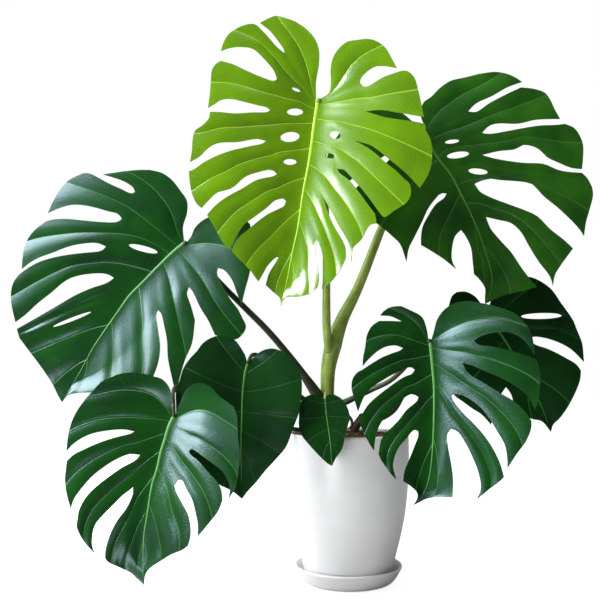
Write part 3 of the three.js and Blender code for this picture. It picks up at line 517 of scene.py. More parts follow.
class Skin:
    """A mesh in the making, with a map and a mark for undersides."""

    def __init__(self) -> None:
        """Starts an empty mesh."""
        self.mesh = bmesh.new()
        self.map = self.mesh.loops.layers.uv.new("Veins")
        self.under = self.mesh.verts.layers.float.new("underside")

    def sheet(self, places: np.ndarray, across: np.ndarray, along: np.ndarray) -> None:
        """Lays a grid of faces through points.

        Args:
            places: Points in millimetres, rows by columns.
            across: Map value at the middle of each column of faces and its two edges, columns by 2.
            along: Map value at each point, rows by columns.
        """
        rows, columns = places.shape[0] - 1, places.shape[1] - 1
        made = bmesh.ops.create_grid(self.mesh, x_segments=columns, y_segments=rows, size=1.0)["verts"]
        spot = {}
        for vertex in made:
            j = round((vertex.co.x + 1) / 2 * columns)
            i = round((vertex.co.y + 1) / 2 * rows)
            spot[vertex] = (i, j)
            vertex.co = Vector(places[i, j]) * MM
        for face in {face for vertex in made for face in vertex.link_faces}:
            left = min(spot[loop.vert][1] for loop in face.loops)
            for loop in face.loops:
                i, j = spot[loop.vert]
                loop[self.map].uv = (across[left, j - left], along[i, j])

    def weld(self, distance: float) -> None:
        """Joins corners that lie together."""
        bmesh.ops.remove_doubles(self.mesh, verts=self.mesh.verts, dist=distance)

    def thicken(self, thickness: float) -> None:
        """Gives the sheet its thickness, half to each side, and marks the far side.

        Args:
            thickness: In metres.
        """
        self.mesh.normal_update()
        fronts = {vertex.co.to_tuple(9): (vertex, vertex.normal * (thickness / 2))
                  for vertex in self.mesh.verts}
        made = bmesh.ops.extrude_face_region(self.mesh, geom=self.mesh.faces[:], use_keep_orig=True)["geom"]
        backs = [item for item in made if isinstance(item, bmesh.types.BMFace)]
        for vertex in (item for item in made if isinstance(item, bmesh.types.BMVert)):
            vertex[self.under] = 1.0
            vertex.co -= fronts[vertex.co.to_tuple(9)][1]
        for vertex, out in fronts.values():
            vertex.co += out
        bmesh.ops.reverse_faces(self.mesh, faces=backs)
        bmesh.ops.recalc_face_normals(self.mesh, faces=self.mesh.faces)

    def tube(self, rings: np.ndarray, finish: int = 0, under: float = 0.0) -> None:
        """Skins a closed tube through rings of points, extruded from ring to ring.

        Args:
            rings: Points in millimetres, rings by sides, running the same way round.
            finish: Number of the tube's material.
            under: Mark for an underside.
        """
        sides = rings.shape[1]
        made = bmesh.ops.create_circle(self.mesh, cap_ends=True, segments=sides, radius=1.0)["verts"]
        around = {vertex: number for number, vertex in enumerate(made)}
        along = {vertex: 0.0 for vertex in made}
        self._place(made, around, rings[0])
        cap = made[0].link_faces[0]
        middles = rings.mean(axis=1)
        reach = np.concatenate([[0.0], np.cumsum(np.linalg.norm(np.diff(middles, axis=0), axis=1))]) * MM
        faces = {cap}
        for number, ring in enumerate(rings[1:], 1):
            before = {vertex.co.to_tuple(7): around[vertex] for vertex in cap.verts}
            kept = number == 1
            made = bmesh.ops.extrude_face_region(self.mesh, geom=[cap], use_keep_orig=kept)["geom"]
            cap = next(item for item in made
                       if isinstance(item, bmesh.types.BMFace) and len(item.verts) == sides)
            for vertex in cap.verts:
                around[vertex] = before[vertex.co.to_tuple(7)]
                along[vertex] = reach[number]
            self._place(cap.verts, around, ring)
            faces.update(face for vertex in cap.verts for face in vertex.link_faces)
        faces = {face for face in faces if face.is_valid}
        for face in faces:
            face.material_index = finish
            turns = [around[loop.vert] for loop in face.loops]
            wraps = max(turns) - min(turns) > sides / 2 and len(turns) == 4
            for loop, turn in zip(face.loops, turns):
                round_share = (turn + (sides if wraps and turn < sides / 2 else 0)) / sides
                loop[self.map].uv = (round_share, along[loop.vert])
        for vertex in along:
            vertex[self.under] = under
        bmesh.ops.recalc_face_normals(self.mesh, faces=list(faces))

    @staticmethod
    def _place(vertices: list, around: dict, ring: np.ndarray) -> None:
        """Puts a ring's vertices on its points."""
        for vertex in vertices:
            vertex.co = Vector(ring[around[vertex]]) * MM

    def turn_profile(self, profile: list[tuple[float, float]], steps: int) -> None:
        """Spins a profile about the Z axis into a closed shape.

        Args:
            profile: Radius and height of each corner, in millimetres.
            steps: Number of steps in the full turn.
        """
        corners = [self.mesh.verts.new((radius * MM, 0, height * MM)) for radius, height in profile]
        edges = [self.mesh.edges.new(pair) for pair in zip(corners, corners[1:] + corners[:1])]
        bmesh.ops.spin(self.mesh, geom=corners + edges, cent=(0, 0, 0), axis=(0, 0, 1), dvec=(0, 0, 0),
                       angle=2 * math.pi, steps=steps, use_merge=True, use_duplicate=False)
        self.weld(TURNED_MERGE * MM)
        bmesh.ops.dissolve_degenerate(self.mesh, edges=self.mesh.edges, dist=TURNED_MERGE * MM)
        bmesh.ops.recalc_face_normals(self.mesh, faces=self.mesh.faces)

    def finished(self, name: str, finishes: list[bpy.types.Material], slot: Slot, nodes: list[str],
                 crisp: float = 50.0) -> bpy.types.Object:
        """Turns the mesh to a piece that stands for CAD nodes.

        Args:
            name: The piece's name.
            finishes: Its materials, by number.
            slot: Not used.
            nodes: The CAD nodes that it replaces.
            crisp: Edges sharper than this many degrees stay crisp.

        Returns:
            The piece.
        """
        mesh = bpy.data.meshes.new(name)
        self.mesh.to_mesh(mesh)
        self.mesh.free()
        mesh.shade_smooth()
        mesh.set_sharp_from_angle(angle=math.radians(crisp))
        for finish in finishes:
            mesh.materials.append(finish)
        piece = bpy.data.objects.new(name, mesh)
        bpy.context.scene.collection.objects.link(piece)
        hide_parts(*nodes)
        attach(piece, BODY)
        LOG.info("%s: %d faces", name, len(mesh.polygons))
        return piece


@dataclass(frozen=True)
class Hole:
    """An oval hole in a blade, from its end by the midrib to its outer end, with its width in grid steps."""

    start: str
    end: str
    width: float


@dataclass(frozen=True)
class Cut:
    """A cut between two lobes, given by its two edges from its inner end to its mouth.

    root is the share of the midrib that it points to. near is the edge on the stalk's side and far the
    one on the tip's side. A cut with a rim instead has no mouth: the lobes join all the way to that point.
    """

    root: float
    end: str = ""
    near: str = ""
    far: str = ""
    rim: str = ""
    hole: Hole | None = None


@dataclass(frozen=True)
class Half:
    """Half a blade: the sinus by the stalk, then the margins of its lobes from there to the tip.

    veins has a digit for each lobe, the number of its main veins; without it each lobe has one.
    """

    sinus: str
    margins: list[str]
    tip_from: float
    cuts: list[Cut] = field(default_factory=list)
    veins: str = ""


@dataclass(frozen=True)
class Leaf:
    """Outline of a blade on the picture grid, and how it lies in depth."""

    name: str
    stalk: str
    midrib: str
    rib_width: float
    depth: float
    lean: float
    turn: float
    fold: float
    left: Half
    right: Half
    quilt: float = 1.0


LEAF_TOP = Leaf(
    name="top",
    stalk="318,99",
    midrib="314,126 309,162 303,193 298,227 293,250 286,285 281,306",
    rib_width=5, depth=-10, lean=0.2, turn=-0.15, fold=0.4,
    left=Half(
        sinus="316,83 319,64 319,50 315,39 305,28 295,21.5",
        margins=[
            "285,18 276,16 267.5,19",
            "253,24 245,25 236,29 228,35 223,44",
            "216.5,63.5 212,70 211,79 210,93",
            "209,118 203,125 195,131 192.5,141 192,150",
            "189.6,181 192.5,195 197,204",
            "211,221.5 216.5,231 222,241",
            "238,258 249,269 255,277",
            "272,291 280,298.5",
        ],
        cuts=[
            Cut(0.012, end="284.5,53",
                near="284,50 278,41 270,31 260,23",
                far="281,50.5 276,46 266.5,35 257,25.5"),
            Cut(0.03, end="277,79", hole=Hole("300,91.5", "292,88", 3),
                near="274,71 265,60 253,49 241.5,47 230,48 221,51",
                far="274,81 261,77 245,70 232,64 221,61"),
            Cut(0.07, end="270,110", hole=Hole("303,112", "287,112", 7),
                near="266,107 261,106 245,102 231,99 221,100 214.6,104 208,108",
                far="267.5,112 253,112.5 234,113.5 218.5,112 210,112"),
            Cut(0.165, end="266,141", hole=Hole("299.5,136", "280.5,138", 10),
                near="257,139 238,142 218.5,143 209,147.5 199,157 190,162",
                far="264,143 249,146.5 230,151 216.5,156 203,163 194,169.5 189,171.5"),
            Cut(0.31, end="277,174", hole=Hole("296.5,162", "283.5,162", 6),
                near="272,170 257,172.5 245,177 232,188 216.5,193 209,200 201.5,208",
                far="274,176 257,180 241.5,189 226,197.5 215,206 207,215"),
            Cut(0.45, end="286,201",
                near="285,199 276,200 266.5,208 253,218 243.5,225 234,241 229,250",
                far="285,205 266.5,215 251,227 236,241 232,251"),
            Cut(0.62, end="278.5,257.5",
                near="277,257 267.5,266 263,274 258.5,281.5",
                far="276,262 269,273.5 265.6,285"),
        ],
        tip_from=0.86,
        veins="11111111",
    ),
    right=Half(
        sinus="329,93 331,81 330.6,70 333,58 339,48.5 347,42 357,40",
        margins=[
            "368.5,39 378,42 386,48.5 391.5,58",
            "407,71 414,77 418.5,91 421,102",
            "426,131 430,138 432,150 431.5,164 428,175",
            "409,183 411,193 407,202 395,210 384,217",
            "376,223 370,225 361,240 353,248",
            "340,270 330,283",
            "311,293 299,296.5 285,298",
        ],
        cuts=[
            Cut(0.012, end="360,83",
                near="361,78 374,67 384,66 397,68",
                far="365,87 384,77 401,71"),
            Cut(0.045, end="365.6,111.5",
                near="380,110 401,113 413,115 424,117",
                far="384,117 403,120 416.5,122 425,124"),
            Cut(0.145, end="354.6,140.5", hole=Hole("329.5,134", "340.5,136", 8),
                near="372,146 390,160 406,173 420,188",
                far="371,150 388,164.5 398,172.5 404,179"),
            Cut(0.26, end="337.5,169", hole=Hole("325.5,155", "334.5,157", 5),
                near="343.5,169.5 351,177 365,193 379,212",
                far="339,172.5 349,180 361,195 375,214"),
            Cut(0.37, end="322,195",
                near="333,214 338,224 350,246 351.5,262",
                far="329,215 334,226 345,246 346,258"),
            Cut(0.5, end="318,240",
                near="322,252 324,270 322,289",
                far="315,248 317.5,268 319,279 317.5,287"),
        ],
        tip_from=0.86,
        veins="1111112",
    ),
)


LEAF_UPPER_RIGHT = Leaf(
    name="upper_right",
    stalk="424,128",
    midrib="436,155 450.5,174 460,192 470,212 479,233 487,257 492,276 491,291 485,304",
    rib_width=4, depth=50, lean=0.22, turn=-0.08, fold=0.22,
    left=Half(
        sinus="412,121 402,113 385,105 366,108 350,120",
        margins=[
            "335,140 327,158 330,178",
            "352,210 364,219 376,223 384,229 392,236 400,244",
            "433,252 445,260",
            "480,280 485,288 485,297",
        ],
        cuts=[
            Cut(0.05, end="395,152",
                near="386,155 370,166 352,179 338,190",
                far="388,161 374,172 358,186 345,200"),
            Cut(0.3, end="446.5,193.5",
                near="441,193.5 434.5,200 428,209 422,222 414,238 409,248 406.5,262",
                far="444,198 436,204 428,216 422.5,227 421,236.5 421,245"),
            Cut(0.48, end="461,230",
                near="455,236.5 452,249 452,260.5 456,269",
                far="465.5,236 471,248 472.6,260.5 474,274"),
        ],
        tip_from=0.68,
        veins="1111",
    ),
    right=Half(
        sinus="421,117 421,109 424,102 431,97 440,88 450.5,81 465,77.5 479,74",
        margins=[
            "495,72 507,74 516,78",
            "534,89 545,93 550,99.5 555,110",
            "574,128 579.5,135.5 583,145 583,158",
            "587,178",
            "593,195 590,208 586,222",
            "567.5,256 561,265 555,275",
            "530,289 502,296",
        ],
        cuts=[
            Cut(0.03, end="468,111.5",
                near="476,103.5 492,96 508,87 522,82",
                far="476,112 489,103.5 505,95 521,87.5"),
            Cut(0.1, end="482,133", hole=Hole("445,142.5", "459,140.7", 4),
                near="489,126 497,123.5 519,123.5 534,120 550,119 560,119",
                far="489,134 508,131 524,128 540,125.6 556,125 565,124"),
            Cut(0.24, end="482,155", hole=Hole("447,156.5", "469,153.5", 6.5),
                near="499,151 516,149 522.6,145 532,146 540,150 547,157 559.5,163 572,168 582,169",
                far="492,158 508,161 524,163 543.5,164 558,170 569,172 582,173"),
            Cut(0.31, rim="592,187", hole=Hole("468.5,170.5", "487.5,172.5", 6)),
            Cut(0.38, end="474.6,184",
                near="484,178.5 500,180 524,182 532,184 543.5,196 559.5,209 579,228.5 584,236",
                far="479,191 492,198 508,204 524,210 537,216 550,229 564,240 573,248.5"),
            Cut(0.52, end="486,217",
                near="499,220 511,223 521,232 529,246 539,262 550,276.5 553,286",
                far="489,226 500,240 511,252 521,267 530,279 537,287"),
        ],
        tip_from=0.86,
        veins="1110111",
    ),
)


LEAF_LOWER_RIGHT_BACK = Leaf(
    name="lower_right_back",
    stalk="487,318",
    midrib="500,333 511,350 529,382 543,410 551,432",
    rib_width=4, depth=62, lean=0.2, turn=-0.1, fold=0.18,
    left=Half(
        sinus="483,309 479,301 473,295 465,291.6 457,292",
        margins=[
            "452,296 449,305 445,320 443,335",
            "443,368 448,385 455,396 462,401 473,409 481,414 487,420",
            "520,415 532,419 542,421.5",
        ],
        cuts=[
            Cut(0.12, end="470,344",
                near="462,343 452,344 443,345",
                far="462,350 453,353 443,356"),
            Cut(0.32, end="506,387",
                near="500,396 494,409 491,425",
                far="511,394 513,403 509,411"),
        ],
        tip_from=0.82,
    ),
    right=Half(
        sinus="489,308 492,296",
        margins=[
            "500,286 515,279 530,277 550,288 561,303 569,314",
            "577,330 582,343",
            "580,380 576,391 569,405 560,418 553,425",
        ],
        cuts=[
            Cut(0.1, rim="573.5,321", hole=Hole("521,316.5", "562,315.5", 6)),
            Cut(0.2, end="528,339.5",
                near="533,336.8 545,338 560,343 572,350 584,362",
                far="535,344.5 548,349 564,357 577,365 581,371"),
        ],
        tip_from=0.82,
    ),
)


LEAF_LOWER_RIGHT = Leaf(
    name="lower_right",
    stalk="430,340",
    midrib="432,362 434,386 434,415 433,442 431,466 428,482 422,496 413,505.5",
    rib_width=4, depth=-95, lean=0.25, turn=-0.22, fold=0.42,
    left=Half(
        sinus="426.5,328 422,317 412,311 401,306",
        margins=[
            "391,307 384,311",
            "372,326 367,335 365,348 363,358",
            "358,372 353,378 351.5,387 354.5,400",
            "359.5,421 362,429 369,443",
            "381,460 386,467 391,474",
            "409,485 414,489 417.3,493.5 417,499",
        ],
        cuts=[
            Cut(0.014, end="402,321.5",
                near="391,316.5 380,315.5",
                far="391,321 379,321"),
            Cut(0.05, end="403,348",
                near="396,345.5 386.5,346.5 378.5,350.5 372,356 366.5,361.5 362.5,366.5",
                far="400,350.5 393,353 382,357.5 371,364 362,370"),
            Cut(0.13, end="415,370",
                near="410.5,367 402.5,370 390,376 378.5,383 370,389 364,397 361,404 358,412",
                far="414,373 404,377 390,386.5 377,396.5 368,405 361,416"),
            Cut(0.27, end="418.5,397",
                near="412,394 404,398 394.5,408.6 383,420 378,429 375,441 374,451",
                far="417,401 407,409.5 398,421 389,430 382,438 378.5,454"),
            Cut(0.38, end="418,431",
                near="414,430 406,439 399,447 394.5,457 393,466 396.5,480",
                far="418.5,435 415,445 409,460 404.5,471 403,481"),
        ],
        tip_from=0.84,
    ),
    right=Half(
        sinus="434,331 437,320 444,310 455,303 468,301 481,303 491,305 505,309",
        margins=[
            "516,314 524,322 531,333 534,346",
            "539,366 540,373 540,385 539,397",
            "531,429 526,441 516,455",
            "500,481 492,487 484,493.5",
            "444,497 436,497 426,499 420,502",
        ],
        cuts=[
            Cut(0.02, end="474,340.5",
                near="481,336 494,332.5 510,332.5 521,338 529,346.5 534.5,355",
                far="478,344.5 492,346.5 513,351.5 527.5,356 536,359.5"),
            Cut(0.08, end="462.6,363",
                near="471,365 487,372 503.5,379 516,386 527.5,396 535,409",
                far="468,373 484,383 500,393 515,402 526,413 531.5,421"),
            Cut(0.2, end="451.4,395",
                near="459,394 478,405 489,418 499,434 505,445 507.5,460 507.5,468",
                far="452,399 462,412 473,423 483,434 492,447 500,463 504,477"),
            Cut(0.33, end="450.6,429",
                near="457,431 465,442 473,458 479,474 481,489 477,499",
                far="447,433 448,447 451,463 453,479 452.5,497"),
        ],
        tip_from=0.84,
    ),
)


LEAF_LEFT = Leaf(
    name="left",
    stalk="185,242",
    midrib="173,252 157,267.5 143,282 130,295 117,313 103,333 93,348 80,372 62,402",
    rib_width=4, depth=10, lean=0.2, turn=-0.15, fold=0.3,
    left=Half(
        sinus="183,227 187,213 187,201 180,190 172,180 162,173 150,170",
        margins=[
            "138,170 127,171 113,173",
            "91,174 85,173 77,176 68,181 60,190 53,202",
            "35,230 27.5,240 24,250 22.5,260",
            "15,280 12,287 11,295 12,307",
            "18,333",
            "30,352 42,368 52,383 58,395",
        ],
        cuts=[
            Cut(0.02, end="135,192",
                near="133,187.5 123,181 113,177.5 103,174.5",
                far="132,193.5 120,188.5 108,183 98,177.5"),
            Cut(0.06, end="122,219",
                near="118,214 107,211 95,207.5 82,205 70,205 57,209 48,213",
                far="117,222 100,222 83,220.5 67,219 54,219.5 46,221.5"),
            Cut(0.13, end="106,246.5", hole=Hole("157.5,252.5", "129,245", 6),
                near="97,243 80,244 67,247 53,252.5 38,258 28,264 22,269",
                far="102,250.5 83,253 67,255 50,258.5 37,263 26,269.5 20,274"),
            Cut(0.31, end="114,278",
                near="107,274 88,274 72,277.5 63,282.5 52,292 38,303 25,315 15.5,322",
                far="108,282.5 92,288 75,295.5 58,305.5 40,316 25,324.5 17,329"),
            Cut(0.46, rim="19.5,338", hole=Hole("91,312", "53,326.7", 3.5)),
        ],
        tip_from=0.86,
        veins="111102",
    ),
    right=Half(
        sinus="191,237 195,228 202,221 212,216 225,213.5 240,215 250,224",
        margins=[
            "253,240 252,258 249.7,273 245,290",
            "242,317 246,327 240,337 233,340 224,338",
            "192,343 185,360 178,384",
            "135,390 110,394 90,392.5 77,393 67,395.5",
        ],
        cuts=[
            Cut(0.025, end="218,268",
                near="224,270 232,280 237,293 241.5,305",
                far="217,273 223,287 231,300 238,309"),
            Cut(0.08, end="189,287",
                near="193,292 200,307 208,320 215,335",
                far="187,293 191,306 195,320"),
            Cut(0.21, end="158,310",
                near="161,313 164.5,327 167,340 168,358 172,378 175.5,393",
                far="156,315 158,330 160,347 158,363 153,377"),
        ],
        tip_from=0.86,
        veins="1113",
    ),
)


LEAF_LOWER_LEFT = Leaf(
    name="lower_left",
    stalk="174,416",
    midrib="169,426 165,439 161,451.5 157,469 152,485 149.5,499 147,516 144,535 143,562 144,585",
    rib_width=4, depth=-150, lean=0.28, turn=-0.12, fold=0.4,
    left=Half(
        sinus="173,405 172,397 169,387 162,379 152,376 139,373 124,373 113,376.5 101,382",
        margins=[
            "94,389.5 85,400 77,411 71,424 68,437",
            "66,469 65,480 67,495",
            "76.8,527 80,535 86,544",
            "108,562 118.5,567 131,573 137,578.5",
        ],
        cuts=[
            Cut(0.05, end="134.6,431.5",
                near="124,429.5 108,430.5 92.5,433.5 81,438.5 72,445 66.5,451",
                far="130,433.8 116,437.3 100,442.5 84,449.5 74,454.5 67,461"),
            Cut(0.17, end="140,455",
                near="130,454 117,459 104,467 91,477.5 81,489 74,499 70.6,508.5",
                far="136,460 123,467 110,476 97,486 87,496 79.5,509 77,522"),
            Cut(0.27, end="133,487",
                near="131,489 123,495 113,505 103,515 95,525 92,538 92.5,547 95,554",
                far="133.6,490.5 131,499 126,509 117,521 110,535 105.5,550 105,558"),
        ],
        tip_from=0.86,
        veins="2113",
    ),
    right=Half(
        sinus="178,408 182,398 186,389.5 193.5,384 201,383 211,387 218,395 228,402.5 234,407",
        margins=[
            "237,415.5 238,437 239.6,451.5 239,466 237,479 234.5,489",
            "218,511 209,523",
            "182,550 170,555 159,562 150,568 145,575",
        ],
        cuts=[
            Cut(0.07, end="189,450.5",
                near="192,449 201,455 214,464.5 222,471 228,481 230,489 229,498",
                far="190,454 198,460.5 208,472 216.5,481 221,489 222.5,500"),
            Cut(0.21, end="178,480",
                near="182,480 186,488 192,499 196,514 198,525 198,536",
                far="174,484 176,492 182,503.5 188,515 190.5,528 190,538 188,545.5"),
        ],
        tip_from=0.86,
        veins="213",
    ),
)


LEAF_INNER_LEFT = Leaf(
    name="inner_left",
    stalk="248,363",
    midrib="245.5,371 243,391 242,415 241,452 242,499",
    rib_width=3, depth=-95, lean=0.15, turn=0.05, fold=0.2,
    left=Half(
        sinus="245.5,356 242,349.5 237,342",
        margins=[
            (
                "230,337 221,335.5 213,337 203,343 197,351 189.5,359 183,369 180,379 176,391 176,405 "
                "177,425 185,446 200,468 218,484 232,491"
            ),
        ],
        tip_from=0.72,
        veins="5",
    ),
    right=Half(
        sinus="251,360 255,356 259,352.5",
        margins=[
            (
                "265,349.5 273.5,348.5 283,352 291,358 297,366.5 301.5,379 302,388.5 301,401 299,413 "
                "294,426 286,447 277,458 266,470 255,483.5 248,491"
            ),
        ],
        tip_from=0.72,
        veins="5",
    ),
    quilt=0.4,
)


LEAF_SMALL = Leaf(
    name="small",
    stalk="325,398",
    midrib="326.5,415 330,440 332,466",
    rib_width=2, depth=-85, lean=0.38, turn=0, fold=0.15,
    left=Half(
        sinus="322.5,397 316,394.5",
        margins=[
            "310,395 304,398 300,404 299,415 299,427 301.5,435 309,444.5 319,455.5 327,463",
        ],
        tip_from=0.72,
        veins="4",
    ),
    right=Half(
        sinus="327.5,395.5 333,394",
        margins=[
            "340.5,398 345,403 348,409 350,418 348,425 345,437 342,449 336,458",
        ],
        tip_from=0.72,
        veins="4",
    ),
    quilt=0.4,
)


LEAVES = [LEAF_TOP, LEAF_UPPER_RIGHT, LEAF_LOWER_RIGHT_BACK, LEAF_LOWER_RIGHT, LEAF_LEFT, LEAF_LOWER_LEFT,
          LEAF_INNER_LEFT, LEAF_SMALL]


def shares_of(line: np.ndarray) -> np.ndarray:
    """Share of a line's length at each of its points."""
    run = np.concatenate([[0.0], np.cumsum(np.linalg.norm(np.diff(line, axis=0), axis=1))])
    return run / run[-1]


def stretched(before: np.ndarray, after: np.ndarray, base: np.ndarray, outer: np.ndarray) -> np.ndarray:
    """Stretches a patch of points between its four sides.

    Args:
        before: Side towards the stalk, from the midrib out.
        after: Side towards the tip, from the midrib out.
        base: Side on the midrib.
        outer: Side on the margin.

    Returns:
        Grid points, rows by columns.
    """
    row = np.linspace(0, 1, len(before))[:, None, None]
    column = np.linspace(0, 1, len(base))[None, :, None]
    across = before[:, None] * (1 - column) + after[:, None] * column
    along = base[None] * (1 - row) + outer[None] * row
    near = before[:1, None] * (1 - column) + after[:1, None] * column
    far = before[-1:, None] * (1 - column) + after[-1:, None] * column
    return across + along - near * (1 - row) - far * row


def settled(patch: np.ndarray, rounds: int) -> np.ndarray:
    """Moves a patch's inner points to where its lines run evenly and don't cross.

    Args:
        patch: Grid points, rows by columns.
        rounds: How often the points move.

    Returns:
        The patch with the same edge.
    """
    patch = patch.copy()
    for _ in range(rounds):
        up, down, left, right = patch[2:, 1:-1], patch[:-2, 1:-1], patch[1:-1, :-2], patch[1:-1, 2:]
        row, column = right - left, up - down
        alpha = (row ** 2).sum(-1, keepdims=True) + LEAST_SPAN
        gamma = (column ** 2).sum(-1, keepdims=True) + LEAST_SPAN
        beta = (row * column).sum(-1, keepdims=True)
        twist = patch[2:, 2:] - patch[2:, :-2] - patch[:-2, 2:] + patch[:-2, :-2]
        goal = (alpha * (up + down) + gamma * (left + right) - beta / 2 * twist) / (2 * (alpha + gamma))
        patch[1:-1, 1:-1] += SETTLING_SHARE * (goal - patch[1:-1, 1:-1])
    return patch


def refined(coarse: np.ndarray, rows: int, columns: int) -> np.ndarray:
    """Reads a coarse patch at finer rows and columns.

    Args:
        coarse: Grid points, rows by columns.
        rows: Number of steps from the first row to the last.
        columns: Number of steps from the first column to the last.

    Returns:
        Grid points, one more row and column than there are steps.
    """
    from_rows = np.linspace(0, 1, coarse.shape[0])
    from_columns = np.linspace(0, 1, coarse.shape[1])
    tall = np.stack([[np.interp(np.linspace(0, 1, rows + 1), from_rows, coarse[:, j, axis])
                      for j in range(coarse.shape[1])] for axis in range(2)], axis=-1)
    wide = np.stack([[np.interp(np.linspace(0, 1, columns + 1), from_columns, tall[:, i, axis])
                      for i in range(rows + 1)] for axis in range(2)], axis=-1)
    return wide


@dataclass
class Blade:
    """A leaf blade: a sheet for each half, the midrib and the raised veins behind."""

    leaf: Leaf
    finish: LeafFinish
    slot: Slot
    rib_samples: int = 300
    rib_sides: int = 14
    rib_rings: int = 90
    rib_end: float = 0.995
    rib_front: float = 1.1
    rib_tip_front: float = 0.55
    rib_tip_back: float = 0.7
    rib_overlap: float = 0.35
    vein_sides: int = 8
    vein_rings: int = 26
    vein_end: float = 0.93
    vein_radius: float = 0.9
    vein_tip_radius: float = 0.25
    vein_clearance: float = 0.15
    vein_bulge: float = 0.8
    skin: Skin = field(default_factory=Skin)

    def __post_init__(self) -> None:
        """Reads the midrib."""
        self.stalk = grid_points(self.leaf.stalk)[0]
        self.midrib = Line(np.vstack([self.stalk[None], grid_points(self.leaf.midrib)]))
        self.rib = self.midrib.evenly(self.rib_samples)
        self.veins: list[np.ndarray] = []

    def build(self) -> bpy.types.Object:
        """Builds the whole blade.

        Returns:
            Its piece.
        """
        for half in (self.leaf.left, self.leaf.right):
            self._half(half)
        self.skin.weld(BLADE_MERGE * MM)
        self.skin.thicken(BLADE_THICKNESS * MM)
        self._midrib()
        for vein in self.veins:
            self._vein(vein)
        finishes = [self.finish.blade_material(), self.finish.rib_material()]
        return self.skin.finished(f"blade_{self.leaf.name}", finishes,
                                  self.slot, [f"leaf_{self.leaf.name}"])

    def rib_width(self, shares: np.ndarray) -> np.ndarray:
        """Width of the midrib in grid steps at shares of its length."""
        return self.leaf.rib_width * RIB_SHOW * (1 - shares) ** RIB_TAPER

    def rib_edge(self, half: Half, shares: np.ndarray) -> np.ndarray:
        """Grid points on one edge of the midrib; the two edges meet at the tip.

        Args:
            half: The half of the blade on that edge.
            shares: Shares of the midrib's length.

        Returns:
            A grid point for each share.
        """
        side = 1 if half is self.leaf.right else -1
        tangent = self.midrib.tangent(shares)
        across = np.stack([tangent[..., 1], -tangent[..., 0]], axis=-1)
        return self.midrib.at(shares) + across * (side * self.rib_width(shares) / 2)[..., None]

    def _from_stalk(self, places: np.ndarray) -> tuple[np.ndarray, np.ndarray]:
        """Millimetres to the right of the stalk's end, and above it, at grid points."""
        return (places[..., 0] - self.stalk[0]) * GRID_STEP, (self.stalk[1] - places[..., 1]) * GRID_STEP

    def depth(self, places: np.ndarray, wave: float, veins: int) -> np.ndarray:
        """Depth of the blade at grid points.

        Args:
            places: A lobe's grid points, in rows from the midrib out and columns from stalk to tip.
            wave: Number of the lobe, for its own wave.
            veins: Number of main veins side by side in the lobe.

        Returns:
            Millimetres behind the pot's axis.
        """
        leaf = self.leaf
        right, up = self._from_stalk(places)
        gaps = np.linalg.norm(places[..., None, :] - self.rib, axis=-1)
        away = gaps.min(axis=-1) * GRID_STEP
        plane = leaf.depth + leaf.lean * up + leaf.turn * right
        rise = np.hypot(away, VALLEY) - VALLEY
        arch = TIP_ARCH * up ** 2 - leaf.fold * rise + DROOP * away ** 2
        reach = np.minimum(1, away / QUILT_FROM)
        row = np.linspace(0, 1, places.shape[0])[:, None]
        column = np.linspace(0, 1, places.shape[1])[None, :]
        width = np.linalg.norm(places[:, -1] - places[:, 0], axis=-1)[:, None] * GRID_STEP
        reach = reach * np.minimum(1, width / QUILTED_WIDTH / max(veins, 1))
        turns = 2 * np.pi * max(veins, 1) * column
        quilt = QUILT * leaf.quilt * (0.5 * np.cos(2 * turns) - 0.8 * np.cos(turns)) * reach
        beside = np.abs((column * veins) % 1 - 0.5) if veins else 1.0
        crease = VEIN_CREASE * np.exp(-beside / VEIN_CREASE_WIDTH) * reach
        free = np.clip((row - CUT_START) / (1 - CUT_START), 0, 1)
        free = free * free * (3 - 2 * free)
        return plane + arch + quilt + crease + LOBE_WAVE * free * math.sin(LOBE_TURN * wave + leaf.depth)

    def _half(self, half: Half) -> None:
        """Lays the lobes of one half.

        Args:
            half: The half.
        """
        leaf = self.leaf
        holed = any(cut.hole for cut in leaf.left.cuts + leaf.right.cuts)
        inner = 2 * NECK_ROWS + HOLE_ROWS if holed else PLAIN_ROWS
        rows = inner + CUT_ROWS
        columns = CAGE_COLUMNS if half.cuts else 2 * CAGE_COLUMNS
        wave = 0
        for lobe, margin in enumerate(half.margins):
            cut_before = half.cuts[lobe - 1] if lobe else None
            cut_after = half.cuts[lobe] if lobe < len(half.cuts) else None
            wave += 1 if cut_before and not cut_before.rim else 0
            cage = self._cage(half, cut_before, cut_after, margin, (rows, inner, columns), 1, 1)
            calm = settled(cage, CAGE_ROUNDS) - cage
            fine = self._cage(half, cut_before, cut_after, margin, (rows, inner, columns),
                              FINER_ROWS, FINER_COLUMNS)
            fine = settled(fine + refined(calm, fine.shape[0] - 1, fine.shape[1] - 1), FINE_ROUNDS)
            self._lobe(half, fine, wave, lobe)

